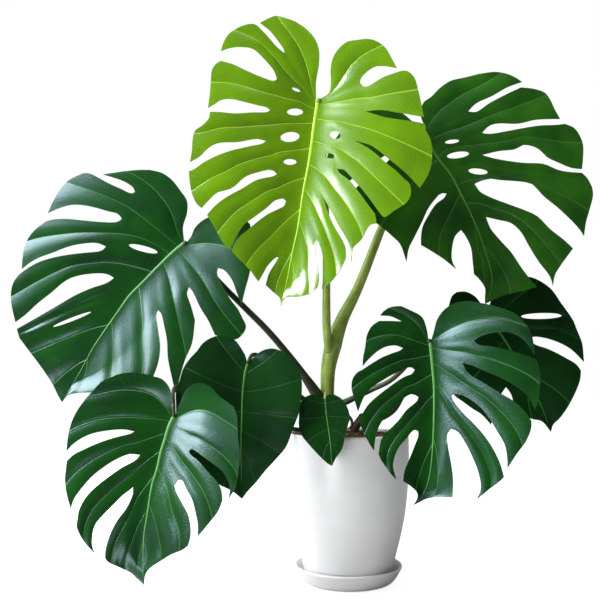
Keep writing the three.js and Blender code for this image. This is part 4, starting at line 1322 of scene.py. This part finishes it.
    def _cage(self, half: Half, cut_before: Cut | None, cut_after: Cut | None, margin: str,
              counts: tuple[int, int, int], finer_rows: int, finer_columns: int) -> np.ndarray:
        """Stretches a lobe's patch of grid points.

        Args:
            half: The half that the lobe is in.
            cut_before: The cut on its side towards the stalk, or none by the sinus.
            cut_after: The cut on its side towards the tip, or none at the tip.
            margin: Its outer edge.
            counts: Rows, rows inside the cuts, and columns, of the coarse cage.
            finer_rows: How many fine rows a coarse row has.
            finer_columns: How many fine columns a coarse column has.

        Returns:
            Grid points, rows by columns.
        """
        rows, inner, columns = counts
        start = cut_before.root if cut_before else 0.0
        end = cut_after.root if cut_after else half.tip_from
        before = self._cut_side(half, cut_before, "far", inner, finer_rows)
        after = self._cut_side(half, cut_after, "near", inner, finer_rows)
        even = np.linspace(0, 1, rows * finer_rows + 1)
        if before is None:
            sinus = Line(np.vstack([self.rib_edge(half, np.array([0.0])), grid_points(half.sinus)]))
            before = sinus.at(even if after is None else shares_of(after))
        if after is None:
            spacing = shares_of(before) if cut_before else even
            after = self.rib_edge(half, end + (1 - end) * spacing)
        base = self.rib_edge(half, np.linspace(start, end, columns * finer_columns + 1))
        outer = Line(np.vstack([before[-1:], grid_points(margin), after[-1:]]))
        outer = outer.evenly(columns * finer_columns)
        return stretched(before, after, base, outer)

    def _cut_side(self, half: Half, cut: Cut | None, edge: str, inner: int, finer: int) -> np.ndarray | None:
        """A lobe's side along a cut: out from the midrib, round any hole, then along the cut's edge.

        Args:
            half: The half that the lobe is in.
            cut: The cut, or none by the sinus and at the tip.
            edge: "near" for the cut's edge towards the stalk, "far" for the one towards the tip.
            inner: Rows of the coarse cage inside the cut.
            finer: How many fine rows a coarse row has.

        Returns:
            Grid points from the midrib to the margin, or none where there is no cut.
        """
        if cut is None:
            return None
        root = self.rib_edge(half, np.array([cut.root]))
        rim = grid_points(cut.rim or cut.end)
        outer_rows = CUT_ROWS * finer
        if cut.hole:
            start, end = grid_points(cut.hole.start), grid_points(cut.hole.end)
            last = NECK_ROWS * finer + (outer_rows if cut.rim else 0)
            parts = [Line(np.vstack([root, start])).evenly(NECK_ROWS * finer),
                     self._hole_edge(cut.hole, edge, HOLE_ROWS * finer)[1:],
                     Line(np.vstack([end, rim])).evenly(last)[1:]]
        else:
            parts = [Line(np.vstack([root, rim])).evenly(inner * finer + (outer_rows if cut.rim else 0))]
        if not cut.rim:
            control = np.vstack([rim, grid_points(cut.near if edge == "near" else cut.far)])
            parts.append(Line(control).evenly(outer_rows)[1:])
        return np.vstack(parts)

    def _hole_edge(self, hole: Hole, edge: str, rows: int) -> np.ndarray:
        """Half of an oval hole's edge.

        Args:
            hole: The hole.
            edge: "near" for its side towards the stalk, "far" for the one towards the tip.
            rows: Number of steps along it.

        Returns:
            Grid points from the hole's start to its end.
        """
        start, end = grid_points(hole.start)[0], grid_points(hole.end)[0]
        long = (end - start) / 2
        out = np.array([-long[1], long[0]])
        out *= hole.width / 2 / np.linalg.norm(out)
        tipward = self.midrib.tangent(np.array([TIPWARD_AT]))[0]
        side = math.copysign(1, out @ tipward) * (1 if edge == "far" else -1)
        angle = np.pi * (1 - np.arange(rows + 1) / rows)[:, None]
        return (start + end) / 2 + long * np.cos(angle) + out * side * np.sin(angle)

    def _lobe(self, half: Half, patch: np.ndarray, wave: int, lobe: int) -> None:
        """Lays one lobe in depth, with its map, and keeps its main veins.

        Args:
            half: The half that the lobe is in.
            patch: The lobe's grid points, rows by columns.
            wave: Number of the lobe's wave.
            lobe: Number of the lobe in its half.
        """
        columns = patch.shape[1] - 1
        veins = int(half.veins[lobe]) if half.veins else 1
        places = seen(patch, self.depth(patch, wave, veins))
        order = slice(None, None, -1 if half is self.leaf.left else 1)
        steps = np.linalg.norm(np.diff(places, axis=0), axis=-1)
        along = np.vstack([np.zeros(columns + 1), np.cumsum(steps, axis=0)]) / MAP_UNIT
        edges = np.stack([np.arange(columns), np.arange(1, columns + 1)], axis=-1) / columns
        across = VEINLESS_START + VEINLESS_REACH * edges
        if veins:
            across = edges * veins - np.floor(edges.mean(axis=1) * veins)[:, None] - 0.5
        if half is self.leaf.left:
            across = across[::-1, ::-1]
        self.skin.sheet(places[:, order], across, along[:, order])
        for vein in range(veins):
            middle = round((vein + 0.5) / veins * columns)
            self.veins.append(places[:, middle])

    def _frames(self, shares: np.ndarray) -> tuple[np.ndarray, np.ndarray, np.ndarray]:
        """Finds how the midrib lies.

        Args:
            shares: Shares of its length.

        Returns:
            Points on it, and unit directions across the blade and out of its front there.
        """
        middle = self.midrib.at(shares)
        tangent = self.midrib.tangent(shares)
        beside = middle + np.stack([-tangent[:, 1], tangent[:, 0]], axis=-1)
        place = seen(middle, self._rib_depth(middle))
        across = seen(beside, self._rib_depth(beside)) - place
        across /= np.linalg.norm(across, axis=-1, keepdims=True)
        along = np.gradient(place, axis=0)
        front = np.cross(along, across)
        front /= np.linalg.norm(front, axis=-1, keepdims=True)
        return place, across, front * np.where(front[:, 1:2] > 0, -1, 1)

    def _rib_depth(self, places: np.ndarray) -> np.ndarray:
        """Depth of the blade's own plane at grid points, without fold or quilting."""
        right, up = self._from_stalk(places)
        return self.leaf.depth + self.leaf.lean * up + self.leaf.turn * right + TIP_ARCH * up ** 2

    def _midrib(self) -> None:
        """Adds the midrib, low and rounded in front and deep behind."""
        shares = np.linspace(0, self.rib_end, self.rib_rings)
        place, across, front = self._frames(shares)
        half_width = (self.rib_width(shares) / 2 * GRID_STEP + self.rib_overlap)[:, None, None]
        angle = np.linspace(0, 2 * np.pi, self.rib_sides, endpoint=False)[None, :, None]
        fade = (1 - shares)[:, None, None]
        rise = np.where(np.sin(angle) > 0, self.rib_tip_front + (self.rib_front - self.rib_tip_front) * fade,
                        self.rib_tip_back + RIB_DEPTH * fade)
        rings = (place[:, None] + across[:, None] * half_width * np.cos(angle)
                 + front[:, None] * rise * np.sin(angle))
        self.skin.tube(rings, finish=1)

    def _vein(self, line: np.ndarray) -> None:
        """Adds a raised main vein behind the blade.

        Args:
            line: Points of the blade from the midrib to the margin, in millimetres.
        """
        path = Line(line[1:-2])
        shares = np.linspace(0, self.vein_end, self.vein_rings)
        middle = path.at(shares)
        along = path.tangent(shares)
        across = np.cross(along, [0.0, -1.0, 0.0])
        across /= np.linalg.norm(across, axis=-1, keepdims=True)
        back = np.cross(across, along)
        back *= np.where(back[:, 1:2] < 0, -1, 1)
        radius = (self.vein_radius + (self.vein_tip_radius - self.vein_radius) * shares)[:, None, None]
        angle = np.linspace(0, 2 * np.pi, self.vein_sides, endpoint=False)[None, :, None]
        middle = middle + back * (self.vein_clearance + self.vein_bulge * radius[:, 0])
        rings = middle[:, None] + (across[:, None] * np.cos(angle) + back[:, None] * np.sin(angle)) * radius
        self.skin.tube(rings, finish=1, under=1.0)


# Routes of the stems and stalks through grid points with a depth and a radius: x, y, depth, radius
MAIN_STEM = [(328.5, 480, 4, 14), (328.5, 446, 4, 14), (328.3, 424, 5, 13), (327.6, 405, 6, 10)]
SIDE_STEM = [(350, 480, 2, 7), (350.5, 446, 2, 7), (353, 434, 3, 6.5), (358, 423, 4, 6), (362, 416, 5, 4.5)]
AERIAL_ROOT = [(332, 414, -6, 2.6), (340, 413, -12, 2.5), (347, 415, -16, 2.4), (351.5, 420, -18, 2.2),
               (351.5, 426, -18, 1.9), (348.5, 428.5, -19, 1.2)]
STALKS = {
    "upper_right": [
        (327.5, 411, 6, 10.5), (327.5, 392, 6, 10), (328.5, 368, 8, 11), (333.5, 345, 12, 13),
        (342, 320, 20, 10), (357, 290, 34, 7.6), (380, 232, 56, 6.6), (405, 172, 78, 5.8),
        (420, 141, 74, 5.2), (424, 128, 51, 4.2)],
    "top": [
        (329, 352, 4, 6.4), (326.8, 328, -4, 6.4), (326.5, 283, 0, 5.8), (326, 230, 8, 5.4),
        (324, 170, 12, 5), (321, 122, 6, 4.6), (318, 100, -11, 4)],
    "left": [
        (325, 408, 0, 9.5), (316, 393, -3, 8.5), (305, 377, -6, 6.2), (286, 352, -5, 5), (267, 330, 2, 4.8),
        (245, 308, 14, 4.6), (222, 285, 24, 4.4), (200, 260, 26, 4), (187, 246, 15, 3.6),
        (185, 242.5, 8.5, 3.2)],
    "small": [
        (329, 415, -4, 3.2), (328, 405, -24, 2.6), (326.5, 396, -50, 2.3), (325.6, 394, -72, 2.1),
        (325, 398, -85.5, 1.9)],
    "inner_left": [
        (321, 409, -4, 4.5), (305, 400, -24, 4), (288, 386, -46, 3.4), (272, 368, -64, 3),
        (260, 356, -78, 2.8), (252.5, 355, -86.5, 2.6), (248, 362.5, -96, 2.4)],
    "lower_left": [
        (321, 425, -4, 4.4), (310, 428.5, -20, 3.6), (297, 429.5, -38, 3.2), (270, 422.5, -58, 3),
        (238, 409, -72, 2.9), (212, 397, -80, 2.8), (196, 390, -86, 2.7), (185, 387, -91, 2.6),
        (177.5, 386, -98, 2.5), (173.8, 389, -112, 2.5), (173.2, 396, -131, 2.5), (173.4, 405, -147, 2.4),
        (174, 416, -151, 2.4)],
    "lower_right": [
        (331, 408, 2, 6), (340, 404, -3, 5), (348, 401, -12, 4.6), (358, 396, -24, 4.2), (373, 389, -40, 3.8),
        (391, 380, -56, 3.4), (409, 363, -71, 3.2), (423, 347, -85, 3), (430, 340.5, -96, 2.8)],
    "lower_right_back": [
        (360, 420, 5, 4.6), (376, 420, 13, 4.2), (393, 411, 24, 4), (402, 397, 38, 3.8), (412, 378, 54, 3.6),
        (434, 350, 75, 3.4), (460, 332, 87, 3.2), (480, 321, 82, 3), (487, 318.5, 61, 2.8)],
}
PALE_STALKS = ("upper_right", "top", "small")
BLADE_FINISHES = {"top": YOUNG_BLADE, "upper_right": SUNLIT_BLADE, "lower_right_back": SHADED_BLADE,
                  "inner_left": HEART_BLADE, "small": HEART_BLADE}


@dataclass
class Stem:
    """A stem, stalk or root: a tube along a route, swollen at its knee and ringed where leaves grew."""

    name: str
    route: list[tuple[float, float, float, float]]
    finish: StalkFinish
    slot: Slot
    sides: int = 24
    step: float = 3.0
    fewest_steps: int = 16
    rings_at: float = 0.0
    ring_rise: float = 0.09
    ring_width: float = 1.6
    knee: float = 0.0
    knee_place: float = 16.0
    knee_width: float = 9.0
    ripple: float = 0.02
    ripple_sides: int = 3
    ripple_twist: float = 9.0
    end_turns: tuple = (30, 60, 85)
    end_bulge: float = 0.8

    def build(self, node: str) -> bpy.types.Object:
        """Builds the piece.

        Args:
            node: The CAD node that it stands for.

        Returns:
            The piece.
        """
        control = np.array(self.route, dtype=float)
        path = Line(seen(control[:, :2], control[:, 2]))
        shares = np.linspace(0, 1, max(self.fewest_steps, round(path.length / self.step)) + 1)
        middle, along = path.at(shares), path.tangent(shares)
        radius = path.reading(control[:, 3], shares) * self._swell(path.length, shares)
        side = self._sides_along(along)
        other = np.cross(along, side)
        angle = np.linspace(0, 2 * np.pi, self.sides, endpoint=False)
        turns = self.ripple_sides * angle[None, :] + self.ripple_twist * shares[:, None]
        uneven = 1 + self.ripple * np.sin(turns)
        reach = (radius[:, None] * uneven)[..., None]
        rings = middle[:, None] + reach * (side[:, None] * np.cos(angle)[None, :, None]
                                           + other[:, None] * np.sin(angle)[None, :, None])
        skin = Skin()
        skin.tube(self._rounded(rings, middle, along, radius))
        return skin.finished(self.name, [self.finish.material()], self.slot, [node], crisp=75.0)

    def _swell(self, length: float, shares: np.ndarray) -> np.ndarray:
        """Swells the knee under the blade, and the rings left by old leaves.

        Args:
            length: Length of the route, in millimetres.
            shares: Shares of it.

        Returns:
            A factor for the radius at each share.
        """
        from_end = (1 - shares) * length
        swell = 1 + self.knee * np.exp(-((from_end - self.knee_place) / self.knee_width) ** 2)
        if self.rings_at:
            place = (shares * length) % self.rings_at
            swell += self.ring_rise * np.exp(-((place - self.rings_at / 2) / self.ring_width) ** 2)
        return swell

    @staticmethod
    def _sides_along(along: np.ndarray) -> np.ndarray:
        """Finds a direction across the route, turned as little as can be from ring to ring.

        Args:
            along: The route's unit direction at each ring.

        Returns:
            The direction across it at each ring.
        """
        side = np.cross(along[0], [0.0, 1.0, 0.0])
        sides = []
        for direction in along:
            side = side - direction * (side @ direction)
            side = side / np.linalg.norm(side)
            sides.append(side)
        return np.array(sides)

    def _rounded(self, rings: np.ndarray, middle: np.ndarray, along: np.ndarray,
                 radius: np.ndarray) -> np.ndarray:
        """Rounds the tube's far end with smaller rings.

        Args:
            rings: Points of the tube, rings by sides.
            middle: Each ring's middle.
            along: Each ring's unit direction along the route.
            radius: Each ring's radius.

        Returns:
            The rings with those of the end after them.
        """
        last = []
        for angle in self.end_turns:
            turn = math.radians(angle)
            shrunk = middle[-1] + (rings[-1] - middle[-1]) * math.cos(turn)
            last.append(shrunk + along[-1] * radius[-1] * self.end_bulge * math.sin(turn))
        return np.concatenate([rings, np.array(last)])


@dataclass
class Pot:
    """The planter: a turned pot with a rolled rim, open above, with a drain hole."""

    wall: float = 6.0
    floor: float = 9.0
    foot_height: float = 5.0
    foot_radius: float = 61.0
    rim_radius: float = 90.0
    rim_height: float = 215.0
    drain_radius: float = 2.5
    straight_from: float = 172.0
    side: tuple = ((65.5, 22), (69.5, 38), (77, 66), (83, 94), (87, 124), (89, 150))
    foot_edge: float = 1.2
    outer_steps: int = 44
    inner_steps: int = 30
    steps: int = 160

    def _straight(self) -> list[tuple[float, float]]:
        """The straight part of the outer wall, up to where the rim's rounding starts."""
        return [(self.rim_radius, self.straight_from), (self.rim_radius, self.rim_height - self.wall / 2)]

    def outer(self) -> list[tuple[float, float]]:
        """The outer wall from foot to rim, as a smooth profile."""
        control = [(self.foot_radius, self.foot_height + self.foot_edge), *self.side, *self._straight()]
        return [tuple(point) for point in Line(np.array(control, dtype=float)).evenly(self.outer_steps)]

    def inner(self) -> list[tuple[float, float]]:
        """The inner wall from rim to floor.

        Returns:
            Radius and height of each corner.
        """
        lowest = (self.foot_radius, self.foot_height + self.floor)
        control = [(radius - self.wall, height) for radius, height in (lowest, *self.side, *self._straight())]
        line = Line(np.array(control, dtype=float)).evenly(self.inner_steps)
        return [tuple(point) for point in line[::-1]]

    def rim(self) -> list[tuple[float, float]]:
        """The rounded top edge, half as wide as the wall.

        Returns:
            Radius and height of each corner.
        """
        rounding = self.wall / 2
        middle, height = self.rim_radius - rounding, self.rim_height - rounding
        turns = np.radians(np.arange(15, 180, 15))
        return [(middle + rounding * math.cos(turn), height + rounding * math.sin(turn)) for turn in turns]

    def build(self) -> bpy.types.Object:
        """Turns the profile into the piece.

        Returns:
            The piece.
        """
        foot = [(self.drain_radius, self.foot_height), (self.foot_radius - self.foot_edge, self.foot_height)]
        drain = [(self.drain_radius, self.foot_height + self.floor)]
        skin = Skin()
        skin.turn_profile([*foot, *self.outer(), *self.rim(), *self.inner(), *drain], self.steps)
        return skin.finished("planter", [GLAZE.material()], Slot.GLAZE, ["pot"])


@dataclass
class Saucer:
    """The dish under the pot, with a rolled lip."""

    floor: float = 5.0
    outside: tuple = ((58, 0), (62.5, 1.2), (67.5, 5), (72, 11), (76, 18), (78.5, 23), (78, 24.4), (76.8, 25))
    inside: tuple = ((76.8, 25), (75, 23.5), (71.5, 17), (67, 10), (62.5, 5))
    outside_steps: int = 22
    inside_steps: int = 18
    steps: int = 160

    def build(self) -> bpy.types.Object:
        """Turns the profile into the piece.

        Returns:
            The piece.
        """
        outside = Line(np.array(self.outside, dtype=float)).evenly(self.outside_steps)
        inside = Line(np.array(self.inside, dtype=float)).evenly(self.inside_steps)[1:]
        profile = [(0.0, 0.0), *map(tuple, outside), *map(tuple, inside), (0.0, self.floor)]
        skin = Skin()
        skin.turn_profile(profile, self.steps)
        return skin.finished("saucer_dish", [GLAZE.material()], Slot.GLAZE, ["saucer"])


@dataclass
class Soil:
    """Potting soil with bark chips lying on it."""

    top: float = 208.0
    crown: float = 212.0
    radius: float = 83.7
    side: tuple = ((54.7, 14.3), (63.2, 38), (76.7, 94), (82.7, 150))
    crown_rings: int = 29
    steps: int = 120
    crumble: float = 1.6
    crumble_scale: float = 120.0
    chips: int = 260
    chips_from_wall: float = 7.0
    chip_length: tuple = (3.0, 8.5)
    chip_width: tuple = (0.45, 0.8)
    chip_height: tuple = (1.2, 2.6)
    chip_lift: tuple = (0.2, 1.6)
    chip_tilt: tuple = (-0.35, 0.35)
    chip_dents: tuple = (-0.5, 0.5)
    seed: int = 7

    def build(self) -> list[bpy.types.Object]:
        """Builds the soil and its chips.

        Returns:
            The two pieces.
        """
        skin = Skin()
        crown = [(self.radius * share, self.top + (self.crown - self.top) * (1 - share ** 2))
                 for share in np.linspace(1, 0, self.crown_rings)]
        skin.turn_profile([(0.0, self.side[0][1]), *self.side, *crown], self.steps)
        for vertex in skin.mesh.verts:
            if vertex.co.z > self.top * MM - 1e-5 and vertex.co.xy.length < (self.radius - 1) * MM:
                crumbs = noise.fractal(vertex.co * self.crumble_scale, 0.6, 2.0, 4)
                vertex.co.z += self.crumble * MM * crumbs
        soil = skin.finished("potting_soil", [SOIL_EARTH.material()], Slot.EARTH, ["soil"])
        return [soil, self._chips()]

    def _chips(self) -> bpy.types.Object:
        """Scatters flat, angular chips of bark over the soil.

        Returns:
            The chips, as one piece.
        """
        draw = random.Random(self.seed)
        skin = Skin()
        for _ in range(self.chips):
            turn = draw.uniform(0, 2 * math.pi)
            reach = (self.radius - self.chips_from_wall) * math.sqrt(draw.random())
            long = draw.uniform(*self.chip_length)
            wide = long * draw.uniform(*self.chip_width)
            size = Matrix.Diagonal((long, wide, draw.uniform(*self.chip_height), 1))
            dome = (self.crown - self.top) * (1 - (reach / self.radius) ** 2)
            lift = self.top + dome + draw.uniform(*self.chip_lift)
            place = Matrix.Translation((reach * math.cos(turn), reach * math.sin(turn), lift))
            tilt = Matrix.Rotation(draw.uniform(*self.chip_tilt), 4, "X")
            tilt = tilt @ Matrix.Rotation(draw.uniform(0, 6.3), 4, "Z")
            made = bmesh.ops.create_icosphere(skin.mesh, subdivisions=1, radius=1.0,
                                              matrix=Matrix.Scale(MM, 4) @ place @ tilt @ size)["verts"]
            for vertex in made:
                vertex.co += Vector([draw.uniform(*self.chip_dents) * MM for _ in range(3)])
        return skin.finished("bark_chips", [BARK_CHIPS.material()], Slot.EARTH, ["soil"], crisp=25.0)


@dataclass(frozen=True)
class Lamp:
    """A soft rectangular light, size wide and high in metres, that faces its target."""

    name: str
    place: tuple[float, float, float]
    size: tuple[float, float]
    watts: float
    colour: str = WHITE
    target: tuple[float, float, float] = (-0.05, -0.05, 0.45)

    def build(self) -> None:
        """Adds the light."""
        light = bpy.data.lights.new(self.name, "AREA")
        light.shape = "RECTANGLE"
        light.size, light.size_y = self.size
        light.energy, light.color = self.watts, linear(self.colour)[:3]
        holder = bpy.data.objects.new(self.name, light)
        holder.location = self.place
        facing = Vector(self.target) - Vector(self.place)
        holder.rotation_euler = facing.to_track_quat("-Z", "Y").to_euler()
        bpy.context.scene.collection.objects.link(holder)


@dataclass
class Stage:
    """Camera, pale floor and studio light."""

    lens: float = 48.0
    sensor: float = 36.0
    floor_reach: float = 6.0
    floor_drop: float = 0.0005
    floor_glow: float = 0.85
    glow_in_front: float = 0.08
    glow_behind: float = 0.45
    lamps: tuple = (
        Lamp("window", (-1.9, -0.65, 1.86), (1.1, 1.7), 146.0, "#f4f9ff"),
        Lamp("ceiling", (-0.3, -0.4, 2.6), (1.2, 1.2), 8.0),
        Lamp("low lamp", (-0.5, -0.75, 0.06), (0.5, 0.3), 3.6, target=(0.0, 0.0, 0.1)),
    )

    def build(self) -> None:
        """Sets the stage."""
        self._camera()
        self._floor()
        self._world()
        for lamp in self.lamps:
            lamp.build()

    def _camera(self) -> None:
        """Puts the camera at the viewpoint of the picture grid."""
        camera = bpy.data.cameras.new("camera")
        camera.lens, camera.sensor_width = self.lens, self.sensor
        holder = bpy.data.objects.new("camera", camera)
        holder.location = Vector(EYE) * MM
        holder.rotation_euler = (math.pi / 2 + EYE_PITCH, 0, 0)
        bpy.context.scene.collection.objects.link(holder)
        bpy.context.scene.camera = holder

    def _floor(self) -> None:
        """Lays a plain pale floor, lit a little more for the camera so that it meets the backdrop."""
        material, tree = new_material("painted board")
        body = add_node(tree, "TexCoord").outputs["Object"]
        cloud = add_node(tree, "TexNoise", {"Vector": body, "Scale": 2.0}).outputs[0]
        skin = add_node(tree, "Mix", {0: cloud, 6: linear("#c5c4c2"), 7: linear("#c2c1be")},
                        data_type="RGBA").outputs[2]
        camera = add_node(tree, "LightPath").outputs["Is Camera Ray"]
        bright = add_node(tree, "Math", {0: camera, 1: self.floor_glow}, operation="MULTIPLY").outputs[0]
        finish_material(tree, {"Base Color": skin, "Roughness": 0.6, "Emission Color": linear(WHITE),
                               "Emission Strength": bright})
        mesh = bpy.data.meshes.new("floor")
        sheet = bmesh.new()
        bmesh.ops.create_grid(sheet, x_segments=2, y_segments=2, size=self.floor_reach)
        sheet.to_mesh(mesh)
        sheet.free()
        mesh.materials.append(material)
        floor = bpy.data.objects.new("floor", mesh)
        floor.location.z = -self.floor_drop
        bpy.context.scene.collection.objects.link(floor)

    def _world(self) -> None:
        """Surrounds the scene with a white backdrop that is dimmer in front, as a room is."""
        world = bpy.data.worlds.new("studio")
        world.use_nodes = True
        tree = world.node_tree
        tree.nodes.clear()
        way = add_node(tree, "TexCoord").outputs["Generated"]
        ahead = add_node(tree, "SeparateXYZ", {0: way}).outputs[1]
        glow = add_node(tree, "MapRange", {0: ahead, 1: -0.5, 2: 0.6, 3: self.glow_in_front,
                                           4: self.glow_behind}).outputs[0]
        camera = add_node(tree, "LightPath").outputs["Is Camera Ray"]
        strength = add_node(tree, "Mix", {0: camera, 2: glow, 3: 1.0}).outputs[0]
        shader = add_node(tree, "Background", {"Color": linear(WHITE), "Strength": strength})
        add_node(tree, "OutputWorld", {"Surface": shader.outputs[0]})
        bpy.context.scene.world = world
        bpy.context.scene.view_settings.view_transform = "Standard"


def main() -> None:
    """Builds every piece and the stage."""
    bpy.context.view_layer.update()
    Pot().build()
    Saucer().build()
    Soil().build()
    Stem("main_stem", MAIN_STEM, STEM_SKIN, Slot.BARK, rings_at=16.0).build("stem_main")
    Stem("side_stem", SIDE_STEM, STEM_SKIN, Slot.BARK, rings_at=13.0).build("stem_side")
    Stem("aerial_root", AERIAL_ROOT, STEM_SKIN, Slot.BARK, step=1.5).build("root_aerial")
    for leaf in LEAVES:
        pale = leaf.name in PALE_STALKS
        Stem(f"petiole_{leaf.name}", STALKS[leaf.name], PALE_SKIN if pale else DARK_SKIN,
             Slot.PALE_STALK if pale else Slot.DARK_STALK, knee=0.12).build(f"stalk_{leaf.name}")
        finish = BLADE_FINISHES.get(leaf.name, DARK_BLADE)
        Blade(leaf, finish, Slot.YOUNG_LEAF if leaf is LEAF_TOP else Slot.DARK_LEAF).build()
    Stage().build()
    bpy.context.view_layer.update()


if __name__ == "__main__":
    logging.basicConfig(level=logging.INFO, format="%(name)s: %(message)s")
    main()
